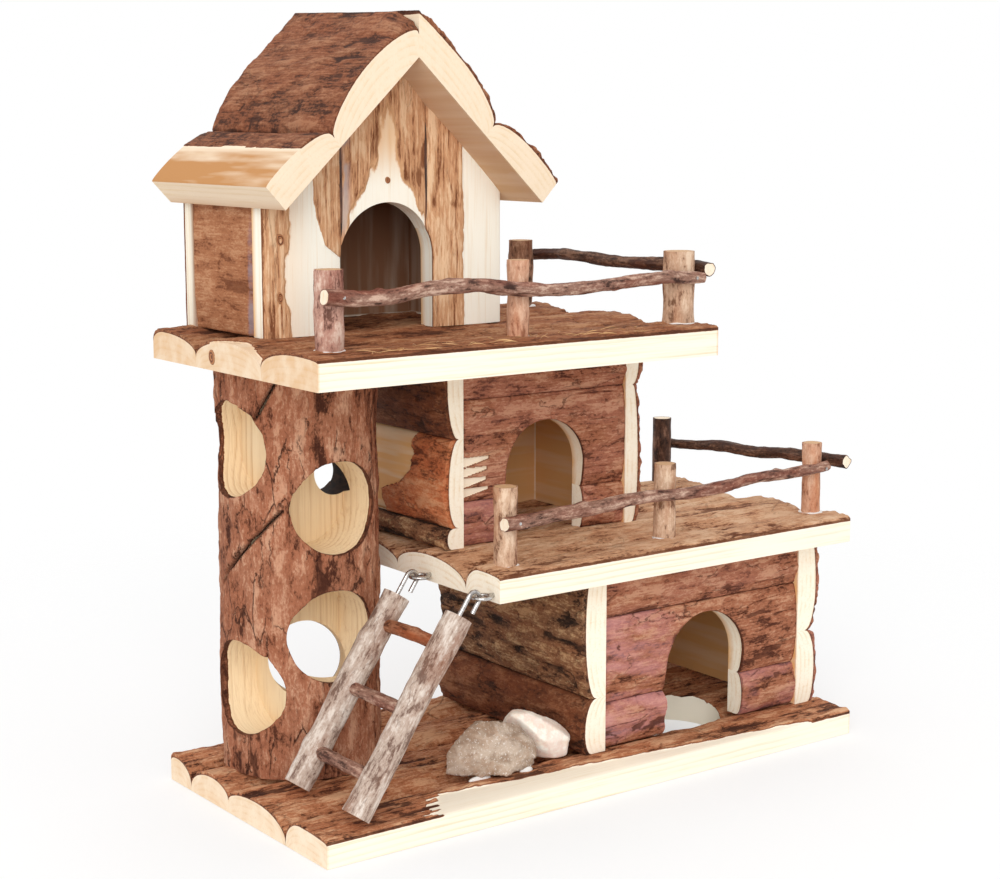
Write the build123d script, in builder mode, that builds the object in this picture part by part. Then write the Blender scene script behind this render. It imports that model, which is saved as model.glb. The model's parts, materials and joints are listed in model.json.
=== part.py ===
from build123d import *
import os
from collections import namedtuple
from math import cos, radians, sin, tan

os.makedirs("parts", exist_ok=True)

# Rodent house of bark-covered slabs, in millimetres: a base with a bored trunk and a ground cabin,
# a middle deck with a second cabin, a top deck with a gabled house, railings and a hooked ladder.
# X runs along the base, Y to the back, Z up. The origin is the middle of the base's underside.

# Heights, from the ground up
BASE_THICKNESS = 11.0
GROUND_HEIGHT = 71.0
MID_DECK_THICKNESS = 11.0
MID_HEIGHT = 72.0
TOP_DECK_THICKNESS = 11.7
HOUSE_APEX_HEIGHT = 98.5

# Base and decks
BASE_LENGTH = 255.0
BASE_DEPTH = 116.0
BASE_FRONT_SLAT = 28.0
BASE_MID_BACK_SLAT = 29.5
BASE_BACK_SLAT = 16.5
MID_DECK_DEPTH = 113.5
MID_DECK_SETBACK = 1.5
MID_DECK_END_INSET = 1.4
MID_FRONT_SLAT = 21.0
MID_BACK_SLAT = 47.0
TOP_DECK_DEPTH = 119.0
TOP_DECK_OVERHANG = 1.7
TOP_DECK_BEARING = 6.5
TOP_FRONT_SLAT = 37.5
TOP_BACK_SLAT = 34.0

# Ground cabin
GROUND_CABIN_WIDTH = 103.2
GROUND_CABIN_INSET = 3.0
GROUND_PORCH = 17.0
GROUND_LEFT_THICKNESS = 12.4
GROUND_LEFT_LOWER = 22.0
GROUND_RIGHT_THICKNESS = 12.0
GROUND_RIGHT_LOWER = 31.3
GROUND_FRONT_THICKNESS = 9.5
GROUND_FRONT_LOWER = 18.0
GROUND_FRONT_MIDDLE = 34.0
GROUND_DOOR_WIDTH = 42.0
GROUND_DOOR_HEIGHT = 47.5
GROUND_DOOR_SHIFT = 1.2
FLOOR_HOLE_DIAMETER = 47.0
FLOOR_HOLE_SETBACK = 15.5

# Middle cabin
MID_CABIN_WIDTH = 79.5
MID_CABIN_LEDGE = 5.6
MID_PORCH = 43.2
MID_LEFT_THICKNESS = 9.2
MID_LEFT_LOWER = 8.0
MID_LEFT_MIDDLE = 34.0
MID_RIGHT_THICKNESS = 8.2
MID_RIGHT_LOWER = 56.0
MID_FRONT_THICKNESS = 8.0
MID_FRONT_LOWER = 17.0
MID_FRONT_MIDDLE = 39.0
MID_DOOR_WIDTH = 38.5
MID_DOOR_HEIGHT = 45.7

# Walls that both cabins share
FRONT_RECESS = 0.5
BACK_WALL_THICKNESS = 9.0
BACK_WALL_INSET = 3.0

# Top house and its roof
HOUSE_WIDTH = 104.0
HOUSE_INSET = 13.2
HOUSE_PORCH = 56.5
HOUSE_BACK_INSET = 0.3
HOUSE_FRONT_THICKNESS = 9.0
HOUSE_FRONT_LEFT = 32.5
HOUSE_FRONT_RIGHT = 34.5
HOUSE_SIDE_THICKNESS = 8.0
HOUSE_DOOR_WIDTH = 40.0
HOUSE_DOOR_HEIGHT = 47.0
ROOF_PITCH = 43.5
ROOF_SLOPE = 76.0
ROOF_THICKNESS = 12.0
ROOF_LEFT_UPPER = 45.0
ROOF_RIGHT_UPPER = 40.0
ROOF_FRONT_OVERHANG = 20.5
ROOF_BACK_OVERHANG = 2.8

# Trunk and its bores
TRUNK_DIAMETER = 60.0
TRUNK_INSET = 9.5
TRUNK_TO_DECK = 5.0
TRUNK_TO_LADDER = 1.6
FRONT_BORE_DIAMETER = 35.0
FRONT_BORE_DEPTH = 25.7
UPPER_FRONT_BORE_HEIGHT = 102.0
UPPER_FRONT_BORE_SHIFT = 0.3
UPPER_EXIT_DIAMETER = 17.5
UPPER_EXIT_SIDE = 13.5
UPPER_EXIT_RISE = 8.5
UPPER_EXIT_TURN = 9.0
UPPER_EXIT_DROP = 9.0
UPPER_EXIT_RUN_IN = 3.0
LOWER_FRONT_BORE_HEIGHT = 53.7
LOWER_FRONT_BORE_SHIFT = 2.0
LOWER_EXIT_DIAMETER = 29.0
LOWER_EXIT_SIDE = 1.7
LOWER_EXIT_RISE = -14.2
LOWER_EXIT_TURN = 28.0
LOWER_EXIT_DROP = 14.0
LOWER_EXIT_RUN_IN = 14.0
LEFT_BORE_DIAMETER = 36.0
UPPER_LEFT_BORE_HEIGHT = 123.0
UPPER_LEFT_BORE_SHIFT = 0.4
UPPER_LEFT_BORE_DEPTH = 15.0
LOWER_LEFT_BORE_HEIGHT = 33.3
LOWER_LEFT_BORE_SHIFT = 4.6
LOWER_LEFT_BORE_DEPTH = 17.4

# Ladder, its hooks and the screw eyes that carry it
LADDER_TILT = 34.3
LADDER_WIDTH = 40.0
LADDER_INSET = 5.5
LADDER_FOOT_GAP = 0.3
STILE_DIAMETER = 10.5
RUNG_DIAMETER = 4.8
RUNG_COUNT = 3
RUNG_FIRST = 12.0
RUNG_PITCH = 26.0
RUNG_SEAT = 3.0
HOOK_WIRE = 1.7
HOOK_BEND_RADIUS = 2.4
HOOK_REACH = 8.5
HOOK_TIP = 5.0
HOOK_SEAT = 9.0
EYE_WIRE = 1.4
EYE_RING_DIAMETER = 6.8
EYE_SHANK_DIAMETER = 1.8
EYE_NECK = 1.0
EYE_SEAT = 11.0
EYE_HEIGHT = 2.6

# Railings
TOP_POST_HEIGHT = 27.3
TOP_LEFT_POST_DIAMETER = 9.9
TOP_LEFT_POST_INSET = 13.9
TOP_LEFT_POST_SETBACK = 15.0
TOP_MIDDLE_POST_DIAMETER = 7.9
TOP_MIDDLE_POST_SHARE = 0.5
TOP_RIGHT_POST_DIAMETER = 11.8
TOP_RIGHT_POST_INSET = 6.3
TOP_RIGHT_POST_SETBACK = 15.9
TOP_BACK_POST_DIAMETER = 10.2
TOP_BACK_POST_INSET = 13.1
TOP_BACK_POST_SETBACK = 11.5
TOP_RAIL_LEFT_HEIGHT = 18.4
TOP_RAIL_RIGHT_HEIGHT = 17.6
TOP_RAIL_BACK_HEIGHT = 20.6
TOP_RAIL_LEFT_OVERHANG = 6.5
TOP_RAIL_FRONT_OVERHANG = 8.2
MID_POST_HEIGHT = 29.0
MID_LEFT_POST_DIAMETER = 8.7
MID_LEFT_POST_INSET = 11.1
MID_LEFT_POST_SETBACK = 11.7
MID_MIDDLE_POST_DIAMETER = 8.6
MID_MIDDLE_POST_SHARE = 0.49
MID_RIGHT_POST_DIAMETER = 7.7
MID_RIGHT_POST_INSET = 7.6
MID_RIGHT_POST_SETBACK = 15.5
MID_BACK_POST_DIAMETER = 8.2
MID_BACK_POST_INSET = 12.9
MID_BACK_POST_SETBACK = 10.1
MID_RAIL_LEFT_HEIGHT = 16.6
MID_RAIL_RIGHT_HEIGHT = 19.2
MID_RAIL_BACK_HEIGHT = 16.4
MID_RAIL_LEFT_OVERHANG = 5.6
MID_RAIL_FRONT_OVERHANG = 13.0
RAIL_DIAMETER = 4.8
RAIL_GAP = 0.1
RAIL_END_GAP = 1.0
RAIL_BACK_OVERHANG = 3.0
SIDE_RAIL_RISE = 2.6
BRAD_DIAMETER = 1.2
BRAD_SEAT = 3.2

# Stones
PALE_STONE_WIDTH = 25.0
PALE_STONE_DEPTH = 19.0
PALE_STONE_HEIGHT = 19.0
PALE_STONE_SETBACK = 28.5
GREY_STONE_WIDTH = 36.0
GREY_STONE_DEPTH = 22.0
GREY_STONE_HEIGHT = 20.0
GREY_STONE_SETBACK = 25.3
GREY_STONE_LAP = 7.5
STONE_GAP = 0.4

# Clearance round a pin in its hole, and how far a cutting shape runs past a face
HOLE_CLEARANCE = 0.05
CUT_MARGIN = 5.0

RIGHT = (1, 0, 0)
LEFT = (-1, 0, 0)
BACK = (0, 1, 0)
FRONT = (0, -1, 0)
UP = (0, 0, 1)
DOWN = (0, 0, -1)

# Levels
base_floor = BASE_THICKNESS
mid_under = base_floor + GROUND_HEIGHT
mid_floor = mid_under + MID_DECK_THICKNESS
top_under = mid_floor + MID_HEIGHT
top_floor = top_under + TOP_DECK_THICKNESS
apex_z = top_floor + HOUSE_APEX_HEIGHT

# Plan: the base's edges, then the trunk, the decks and the cabins from them
base_left = -BASE_LENGTH / 2
base_right = BASE_LENGTH / 2
base_front = -BASE_DEPTH / 2
base_back = BASE_DEPTH / 2
stile_front_y = base_front + LADDER_INSET
stile_back_y = stile_front_y + LADDER_WIDTH
trunk_radius = TRUNK_DIAMETER / 2
trunk_x = base_left + TRUNK_INSET + trunk_radius
trunk_y = stile_back_y + STILE_DIAMETER / 2 + TRUNK_TO_LADDER + trunk_radius
mid_left = trunk_x + trunk_radius + TRUNK_TO_DECK
mid_right = base_right - MID_DECK_END_INSET
mid_front = base_front + MID_DECK_SETBACK
mid_back = mid_front + MID_DECK_DEPTH
ground_right_inner = base_right - GROUND_CABIN_INSET - GROUND_RIGHT_THICKNESS
ground_left_inner = ground_right_inner - GROUND_CABIN_WIDTH
ground_front = base_front + GROUND_PORCH
ground_front_inner = ground_front + FRONT_RECESS + GROUND_FRONT_THICKNESS
cabin_back_inner = base_back - BACK_WALL_INSET - BACK_WALL_THICKNESS
mid_left_inner = mid_left + MID_CABIN_LEDGE + MID_LEFT_THICKNESS
mid_right_inner = mid_left_inner + MID_CABIN_WIDTH
mid_wall_front = mid_front + MID_PORCH
mid_front_inner = mid_wall_front + FRONT_RECESS + MID_FRONT_THICKNESS
top_left = base_left - TOP_DECK_OVERHANG
top_right = mid_right_inner + TOP_DECK_BEARING
top_front = -TOP_DECK_DEPTH / 2
top_back = TOP_DECK_DEPTH / 2
house_left = top_left + HOUSE_INSET
house_right = house_left + HOUSE_WIDTH
house_front = top_front + HOUSE_PORCH
house_front_inner = house_front + HOUSE_FRONT_THICKNESS
house_back = top_back - HOUSE_BACK_INSET
house_back_inner = house_back - BACK_WALL_THICKNESS
ridge_x = (house_left + house_right) / 2

# How a slab's bark side runs: its two edges as shares of its thickness, and the place of its crown
Bark = namedtuple("Bark", "low_edge high_edge crown_at")
Slat = namedtuple("Slat", "name width bark")
Course = namedtuple("Course", "name height bark")


def finish(piece, name):
    """Names a finished piece and writes it."""
    piece.label = name
    export_step(piece, f"parts/{name}.step")


def sawn_slab(corner, run, bark_side, width, thickness, length, bark):
    """A slab sawn from a log: flat inside, and outside two quarter ellipses that meet at the crown.

    It runs from the corner along run, with its bark towards bark_side and its width square to both.
    """
    across = Vector(*bark_side).cross(Vector(*run))
    crown = width * bark.crown_at
    low = thickness * bark.low_edge
    high = thickness * bark.high_edge
    with BuildPart() as slab:
        with BuildSketch(Plane(origin=corner, x_dir=across, z_dir=run)):
            with BuildLine():
                Polyline((0, low), (0, 0), (width, 0), (width, high))
                EllipticalCenterArc((crown, high), width - crown, thickness - high, 0, arc_size=90)
                EllipticalCenterArc((crown, low), crown, thickness - low, 90, arc_size=90)
            make_face()
        extrude(amount=length)
    return slab.part


def rod(start, direction, diameter, length):
    """A round stick from a start point along a direction."""
    with BuildPart() as stick:
        with BuildSketch(Plane(origin=start, z_dir=direction)):
            Circle(diameter / 2)
        extrude(amount=length)
    return stick.part


def doorway(centre_x, floor, wall_inner, width, height, wall_thickness):
    """The space of a doorway: straight jambs under a half-round head, run past both faces of its wall."""
    half = width / 2
    spring = height - half
    plane = Plane(origin=(centre_x, wall_inner + CUT_MARGIN, floor), x_dir=RIGHT, z_dir=FRONT)
    with BuildPart() as opening:
        with BuildSketch(plane):
            with BuildLine():
                Polyline((-half, spring), (-half, -CUT_MARGIN), (half, -CUT_MARGIN), (half, spring))
                ThreePointArc((half, spring), (0, height), (-half, spring))
            make_face()
        extrude(amount=wall_thickness + 2 * CUT_MARGIN)
    return opening.part


def cut_slab(blank, cutters):
    """A slab with shapes cut out of it."""
    with BuildPart() as slab:
        add(blank)
        for cutter in cutters:
            add(cutter, mode=Mode.SUBTRACT)
    return slab.part


def lay_slats(slats, left, length, front, under, thickness, cutters):
    """Slats side by side from the front to the back, each along X with its bark up."""
    slat_front = front
    for slat in slats:
        corner = (left, slat_front, under)
        blank = sawn_slab(corner, RIGHT, UP, slat.width, thickness, length, slat.bark)
        with BuildPart() as deck_slat:
            add(blank)
            for cutter in cutters:
                add(cutter, mode=Mode.SUBTRACT)
        finish(deck_slat.part, slat.name)
        slat_front += slat.width


def stack_courses(courses, start, run, bark_side, thickness, length, floor):
    """Slabs one above the other, each level, from the floor up."""
    course_z = floor
    for course in courses:
        corner = (start[0], start[1], course_z)
        finish(sawn_slab(corner, run, bark_side, course.height, thickness, length, course.bark), course.name)
        course_z += course.height


def cabin_front(prefix, left, right, inner, thickness, floor, courses, door):
    """A cabin's front: a lower slab in two lengths beside the doorway, and slabs cut by its head."""
    lower, *upper_courses = courses
    door_left = door["x"] - door["width"] / 2
    door_right = door["x"] + door["width"] / 2
    for side, start, end in (("left", left, door_left), ("right", door_right, right)):
        piece = sawn_slab((start, inner, floor), RIGHT, FRONT, lower.height, thickness, end - start, lower.bark)
        finish(piece, f"{prefix}_{lower.name}_{side}")
    space = doorway(door["x"], floor, inner, door["width"], door["height"], thickness)
    course_z = floor + lower.height
    for course in upper_courses:
        corner = (left, inner, course_z)
        blank = sawn_slab(corner, RIGHT, FRONT, course.height, thickness, right - left, course.bark)
        finish(cut_slab(blank, [space]), f"{prefix}_{course.name}")
        course_z += course.height


# Ladder geometry: it hangs from the outer wire of the two screw eyes and leans out to the left.
# Places on it are given along its length (up the ladder) and across it (to the right of the pivot).
tilt = radians(LADDER_TILT)
ladder_up = (sin(tilt), 0, cos(tilt))
ladder_down = (-sin(tilt), 0, -cos(tilt))
ladder_across = (cos(tilt), 0, -sin(tilt))
eye_x = mid_left - EYE_NECK - EYE_WIRE / 2 - EYE_RING_DIAMETER / 2
eye_z = mid_under + EYE_HEIGHT
pivot_x = eye_x - EYE_RING_DIAMETER / 2
foot_rise = (STILE_DIAMETER / 2 - HOOK_BEND_RADIUS) * sin(tilt)
foot_reach = (eye_z - base_floor - LADDER_FOOT_GAP - foot_rise) / cos(tilt)
stile_length = foot_reach - HOOK_REACH
stiles = {"ladder_stile_front": stile_front_y, "ladder_stile_back": stile_back_y}
eye_ys = list(stiles.values())


def on_ladder(along, y):
    """A point on a stile's centre line, along the ladder from the pivot."""
    return (
        pivot_x + along * ladder_up[0] - HOOK_BEND_RADIUS * ladder_across[0],
        y,
        eye_z + along * ladder_up[2] - HOOK_BEND_RADIUS * ladder_across[2],
    )


def eye_shanks(clearance):
    """The screw eyes' shanks from the ring's wire into the deck, or their holes when given a clearance."""
    start_x = eye_x + EYE_RING_DIAMETER / 2
    length = mid_left + EYE_SEAT - start_x + clearance
    diameter = EYE_SHANK_DIAMETER + 2 * clearance
    return [rod((start_x, y, eye_z), RIGHT, diameter, length) for y in eye_ys]


def rung_sticks(clearance):
    """The rungs between the stiles, or their sockets when given a clearance."""
    start_y = stile_front_y + STILE_DIAMETER / 2 - RUNG_SEAT - clearance
    length = LADDER_WIDTH - STILE_DIAMETER + 2 * RUNG_SEAT + 2 * clearance
    diameter = RUNG_DIAMETER + 2 * clearance
    places = [-HOOK_REACH - RUNG_FIRST - index * RUNG_PITCH for index in range(RUNG_COUNT)]
    return [rod(on_ladder(along, start_y), BACK, diameter, length) for along in places]


def hook_holes():
    """The pilot holes of the hooks' shanks in the tops of the stiles."""
    diameter = HOOK_WIRE + 2 * HOLE_CLEARANCE
    length = HOOK_SEAT + HOLE_CLEARANCE + CUT_MARGIN
    top = -HOOK_REACH + CUT_MARGIN
    return [rod(on_ladder(top, y), ladder_down, diameter, length) for y in eye_ys]


# Base, with the round floor hole behind the ground doorway
ground_door = {
    "x": (ground_left_inner + ground_right_inner) / 2 + GROUND_DOOR_SHIFT,
    "width": GROUND_DOOR_WIDTH,
    "height": GROUND_DOOR_HEIGHT,
}
hole_start = (ground_door["x"], ground_front_inner + FLOOR_HOLE_SETBACK, -CUT_MARGIN)
floor_hole = rod(hole_start, UP, FLOOR_HOLE_DIAMETER, BASE_THICKNESS + 2 * CUT_MARGIN)
base_mid_front_slat = BASE_DEPTH - BASE_FRONT_SLAT - BASE_MID_BACK_SLAT - BASE_BACK_SLAT
base_slats = [
    Slat("base_slat_front", BASE_FRONT_SLAT, Bark(0.86, 0.24, 0.64)),
    Slat("base_slat_mid_front", base_mid_front_slat, Bark(0.2, 0.52, 0.5)),
    Slat("base_slat_mid_back", BASE_MID_BACK_SLAT, Bark(0.52, 0.28, 0.42)),
    Slat("base_slat_back", BASE_BACK_SLAT, Bark(0.36, 0.84, 0.7)),
]
lay_slats(base_slats, base_left, BASE_LENGTH, base_front, 0, BASE_THICKNESS, [floor_hole])

# Ground cabin
ground_depth = cabin_back_inner + BACK_WALL_THICKNESS - ground_front
ground_left_courses = [
    Course("ground_left_wall_lower", GROUND_LEFT_LOWER, Bark(0.75, 0.57, 0.4)),
    Course("ground_left_wall_upper", GROUND_HEIGHT - GROUND_LEFT_LOWER, Bark(0.57, 0.75, 0.55)),
]
ground_left_start = (ground_left_inner, ground_front + ground_depth)
stack_courses(
    ground_left_courses, ground_left_start, FRONT, LEFT, GROUND_LEFT_THICKNESS, ground_depth, base_floor
)
ground_right_courses = [
    Course("ground_right_wall_lower", GROUND_RIGHT_LOWER, Bark(0.75, 0.48, 0.5)),
    Course("ground_right_wall_upper", GROUND_HEIGHT - GROUND_RIGHT_LOWER, Bark(0.48, 0.7, 0.45)),
]
ground_right_start = (ground_right_inner, ground_front)
stack_courses(
    ground_right_courses, ground_right_start, BACK, RIGHT, GROUND_RIGHT_THICKNESS, ground_depth, base_floor
)
ground_front_upper = GROUND_HEIGHT - GROUND_FRONT_LOWER - GROUND_FRONT_MIDDLE
ground_front_courses = [
    Course("lower", GROUND_FRONT_LOWER, Bark(0.7, 0.66, 0.5)),
    Course("middle", GROUND_FRONT_MIDDLE, Bark(0.66, 0.72, 0.5)),
    Course("upper", ground_front_upper, Bark(0.72, 0.78, 0.5)),
]
cabin_front(
    "ground_front",
    ground_left_inner,
    ground_right_inner,
    ground_front_inner,
    GROUND_FRONT_THICKNESS,
    base_floor,
    ground_front_courses,
    ground_door,
)
back_bark = Bark(0.62, 0.62, 0.5)
stack_courses(
    [Course("ground_back_wall", GROUND_HEIGHT, back_bark)],
    (ground_right_inner, cabin_back_inner),
    LEFT,
    BACK,
    BACK_WALL_THICKNESS,
    GROUND_CABIN_WIDTH,
    base_floor,
)

# Middle deck, drilled at its left end for the screw eyes
mid_middle_slat = MID_DECK_DEPTH - MID_FRONT_SLAT - MID_BACK_SLAT
mid_slats = [
    Slat("mid_deck_front", MID_FRONT_SLAT, Bark(0.87, 0.3, 0.6)),
    Slat("mid_deck_middle", mid_middle_slat, Bark(0.24, 0.36, 0.55)),
    Slat("mid_deck_back", MID_BACK_SLAT, Bark(0.36, 0.62, 0.8)),
]
mid_length = mid_right - mid_left
eye_holes = eye_shanks(HOLE_CLEARANCE)
lay_slats(mid_slats, mid_left, mid_length, mid_front, mid_under, MID_DECK_THICKNESS, eye_holes)

# Middle cabin
mid_depth = cabin_back_inner + BACK_WALL_THICKNESS - mid_wall_front
mid_left_upper = MID_HEIGHT - MID_LEFT_LOWER - MID_LEFT_MIDDLE
mid_left_courses = [
    Course("mid_left_wall_lower", MID_LEFT_LOWER, Bark(0.82, 0.72, 0.5)),
    Course("mid_left_wall_middle", MID_LEFT_MIDDLE, Bark(0.56, 0.44, 0.42)),
    Course("mid_left_wall_upper", mid_left_upper, Bark(0.44, 0.9, 0.7)),
]
mid_left_start = (mid_left_inner, mid_wall_front + mid_depth)
stack_courses(mid_left_courses, mid_left_start, FRONT, LEFT, MID_LEFT_THICKNESS, mid_depth, mid_floor)
mid_right_courses = [
    Course("mid_right_wall_lower", MID_RIGHT_LOWER, Bark(0.64, 0.6, 0.4)),
    Course("mid_right_wall_upper", MID_HEIGHT - MID_RIGHT_LOWER, Bark(0.6, 0.8, 0.6)),
]
mid_right_start = (mid_right_inner, mid_wall_front)
stack_courses(mid_right_courses, mid_right_start, BACK, RIGHT, MID_RIGHT_THICKNESS, mid_depth, mid_floor)
mid_door = {
    "x": (mid_left_inner + mid_right_inner) / 2,
    "width": MID_DOOR_WIDTH,
    "height": MID_DOOR_HEIGHT,
}
mid_front_upper = MID_HEIGHT - MID_FRONT_LOWER - MID_FRONT_MIDDLE
mid_front_courses = [
    Course("lower", MID_FRONT_LOWER, Bark(0.72, 0.7, 0.5)),
    Course("middle", MID_FRONT_MIDDLE, Bark(0.7, 0.76, 0.5)),
    Course("upper", mid_front_upper, Bark(0.76, 0.82, 0.5)),
]
cabin_front(
    "mid_front",
    mid_left_inner,
    mid_right_inner,
    mid_front_inner,
    MID_FRONT_THICKNESS,
    mid_floor,
    mid_front_courses,
    mid_door,
)
stack_courses(
    [Course("mid_back_wall", MID_HEIGHT, back_bark)],
    (mid_right_inner, cabin_back_inner),
    LEFT,
    BACK,
    BACK_WALL_THICKNESS,
    MID_CABIN_WIDTH,
    mid_floor,
)

# Top deck
top_middle_slat = TOP_DECK_DEPTH - TOP_FRONT_SLAT - TOP_BACK_SLAT
top_slats = [
    Slat("top_deck_front", TOP_FRONT_SLAT, Bark(0.9, 0.42, 0.39)),
    Slat("top_deck_middle", top_middle_slat, Bark(0.4, 0.4, 0.5)),
    Slat("top_deck_back", TOP_BACK_SLAT, Bark(0.42, 0.66, 0.75)),
]
lay_slats(top_slats, top_left, top_right - top_left, top_front, top_under, TOP_DECK_THICKNESS, [])

# Top house: upright slabs, cut off under the two roof planes
pitch = radians(ROOF_PITCH)
left_roof_side = (-sin(pitch), 0, cos(pitch))
right_roof_side = (sin(pitch), 0, cos(pitch))
ridge_foot = (ridge_x, 0, apex_z)
left_roof = Plane(origin=ridge_foot, x_dir=BACK, z_dir=left_roof_side)
right_roof = Plane(origin=ridge_foot, x_dir=BACK, z_dir=right_roof_side)
house_door_space = doorway(
    ridge_x, top_floor, house_front_inner, HOUSE_DOOR_WIDTH, HOUSE_DOOR_HEIGHT, HOUSE_FRONT_THICKNESS
)
house_front_centre = HOUSE_WIDTH - HOUSE_FRONT_LEFT - HOUSE_FRONT_RIGHT
house_front_slabs = [
    Slat("house_front_left", HOUSE_FRONT_LEFT, Bark(0.8, 0.78, 0.5)),
    Slat("house_front_centre", house_front_centre, Bark(0.78, 0.8, 0.5)),
    Slat("house_front_right", HOUSE_FRONT_RIGHT, Bark(0.8, 0.8, 0.5)),
]
slab_left = house_left
for slat in house_front_slabs:
    corner = (slab_left, house_front_inner, apex_z)
    upright = sawn_slab(corner, DOWN, FRONT, slat.width, HOUSE_FRONT_THICKNESS, HOUSE_APEX_HEIGHT, slat.bark)
    with BuildPart() as house_slab:
        add(upright)
        add(house_door_space, mode=Mode.SUBTRACT)
        split(bisect_by=left_roof, keep=Keep.BOTTOM)
        split(bisect_by=right_roof, keep=Keep.BOTTOM)
    finish(house_slab.part, slat.name)
    slab_left += slat.width

side_bark = Bark(0.85, 0.85, 0.5)
side_length = house_back_inner - house_front_inner
left_corner = (house_left + HOUSE_SIDE_THICKNESS, house_front_inner, top_floor)
right_corner = (house_right - HOUSE_SIDE_THICKNESS, house_back_inner, top_floor)
left_panel = sawn_slab(left_corner, UP, LEFT, side_length, HOUSE_SIDE_THICKNESS, HOUSE_APEX_HEIGHT, side_bark)
right_panel = sawn_slab(right_corner, UP, RIGHT, side_length, HOUSE_SIDE_THICKNESS, HOUSE_APEX_HEIGHT, side_bark)
with BuildPart() as house_left_wall:
    add(left_panel)
    split(bisect_by=left_roof, keep=Keep.BOTTOM)
finish(house_left_wall.part, "house_left_wall")
with BuildPart() as house_right_wall:
    add(right_panel)
    split(bisect_by=right_roof, keep=Keep.BOTTOM)
finish(house_right_wall.part, "house_right_wall")
back_corner = (house_left, house_back_inner, top_floor)
back_panel = sawn_slab(back_corner, UP, BACK, HOUSE_WIDTH, BACK_WALL_THICKNESS, HOUSE_APEX_HEIGHT, side_bark)
with BuildPart() as house_back_wall:
    add(back_panel)
    split(bisect_by=left_roof, keep=Keep.BOTTOM)
    split(bisect_by=right_roof, keep=Keep.BOTTOM)
finish(house_back_wall.part, "house_back_wall")

# Roof: two slabs a side, the upper ones mitred against each other at the ridge
RoofSlab = namedtuple("RoofSlab", "name side start end bark")
roof_front = house_front - ROOF_FRONT_OVERHANG
roof_back = house_back + ROOF_BACK_OVERHANG
roof_length = roof_back - roof_front
mitre = ROOF_THICKNESS * tan(pitch)
roof_slabs = [
    RoofSlab("roof_left_upper", "left", -mitre, ROOF_LEFT_UPPER, Bark(0.9, 0.4, 0.5)),
    RoofSlab("roof_left_lower", "left", ROOF_LEFT_UPPER, ROOF_SLOPE, Bark(0.46, 0.94, 0.75)),
    RoofSlab("roof_right_upper", "right", -mitre, ROOF_RIGHT_UPPER, Bark(0.9, 0.42, 0.5)),
    RoofSlab("roof_right_lower", "right", ROOF_RIGHT_UPPER, ROOF_SLOPE, Bark(0.48, 0.86, 0.6)),
]
ridge_plane = Plane(origin=ridge_foot, z_dir=RIGHT)
for slab in roof_slabs:
    on_left = slab.side == "left"
    down_slope = -cos(pitch) if on_left else cos(pitch)
    corner_x = ridge_x + slab.start * down_slope
    corner_z = apex_z - slab.start * sin(pitch)
    corner = (corner_x, roof_front if on_left else roof_back, corner_z)
    run = BACK if on_left else FRONT
    outward = left_roof_side if on_left else right_roof_side
    blank = sawn_slab(corner, run, outward, slab.end - slab.start, ROOF_THICKNESS, roof_length, slab.bark)
    with BuildPart() as roof_slab:
        add(blank)
        split(bisect_by=ridge_plane, keep=Keep.BOTTOM if on_left else Keep.TOP)
    finish(roof_slab.part, slab.name)


def sloping(turn, drop):
    """A direction to the back, turned to the right and dropped by angles in degrees."""
    level = cos(radians(drop))
    return (sin(radians(turn)) * level, cos(radians(turn)) * level, -sin(radians(drop)))


# Trunk: two bores from the front, each with a smaller way out at the back, and two from the left.
# A way out is set by where its axis meets the end of its bore, and is run in a little before that end.
FrontBore = namedtuple("FrontBore", "height shift exit_diameter exit_side exit_rise exit_turn exit_drop run_in")
front_bores = [
    FrontBore(UPPER_FRONT_BORE_HEIGHT, UPPER_FRONT_BORE_SHIFT, UPPER_EXIT_DIAMETER, UPPER_EXIT_SIDE, UPPER_EXIT_RISE,
              UPPER_EXIT_TURN, UPPER_EXIT_DROP, UPPER_EXIT_RUN_IN),
    FrontBore(LOWER_FRONT_BORE_HEIGHT, LOWER_FRONT_BORE_SHIFT, LOWER_EXIT_DIAMETER, LOWER_EXIT_SIDE, LOWER_EXIT_RISE,
              LOWER_EXIT_TURN, LOWER_EXIT_DROP, LOWER_EXIT_RUN_IN),
]
left_bores = [
    (UPPER_LEFT_BORE_HEIGHT, UPPER_LEFT_BORE_SHIFT, UPPER_LEFT_BORE_DEPTH),
    (LOWER_LEFT_BORE_HEIGHT, LOWER_LEFT_BORE_SHIFT, LOWER_LEFT_BORE_DEPTH),
]
trunk_front = trunk_y - trunk_radius
trunk_left = trunk_x - trunk_radius
trunk_cuts = []
for bore in front_bores:
    bore_x = trunk_x - bore.shift
    bore_z = base_floor + bore.height
    mouth = (bore_x, trunk_front - CUT_MARGIN, bore_z)
    trunk_cuts.append(rod(mouth, BACK, FRONT_BORE_DIAMETER, FRONT_BORE_DEPTH + CUT_MARGIN))
    way_out = sloping(bore.exit_turn, bore.exit_drop)
    meeting = (bore_x + bore.exit_side, trunk_front + FRONT_BORE_DEPTH, bore_z + bore.exit_rise)
    way_in = tuple(point - bore.run_in * step for point, step in zip(meeting, way_out))
    trunk_cuts.append(rod(way_in, way_out, bore.exit_diameter, 2 * TRUNK_DIAMETER))
for height, shift, depth in left_bores:
    mouth = (trunk_left - CUT_MARGIN, trunk_y - shift, base_floor + height)
    trunk_cuts.append(rod(mouth, RIGHT, LEFT_BORE_DIAMETER, depth + CUT_MARGIN))
log = rod((trunk_x, trunk_y, base_floor), UP, TRUNK_DIAMETER, top_under - base_floor)
with BuildPart() as tree_trunk:
    add(log)
    for cut in trunk_cuts:
        add(cut, mode=Mode.SUBTRACT)
finish(tree_trunk.part, "tree_trunk")

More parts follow.
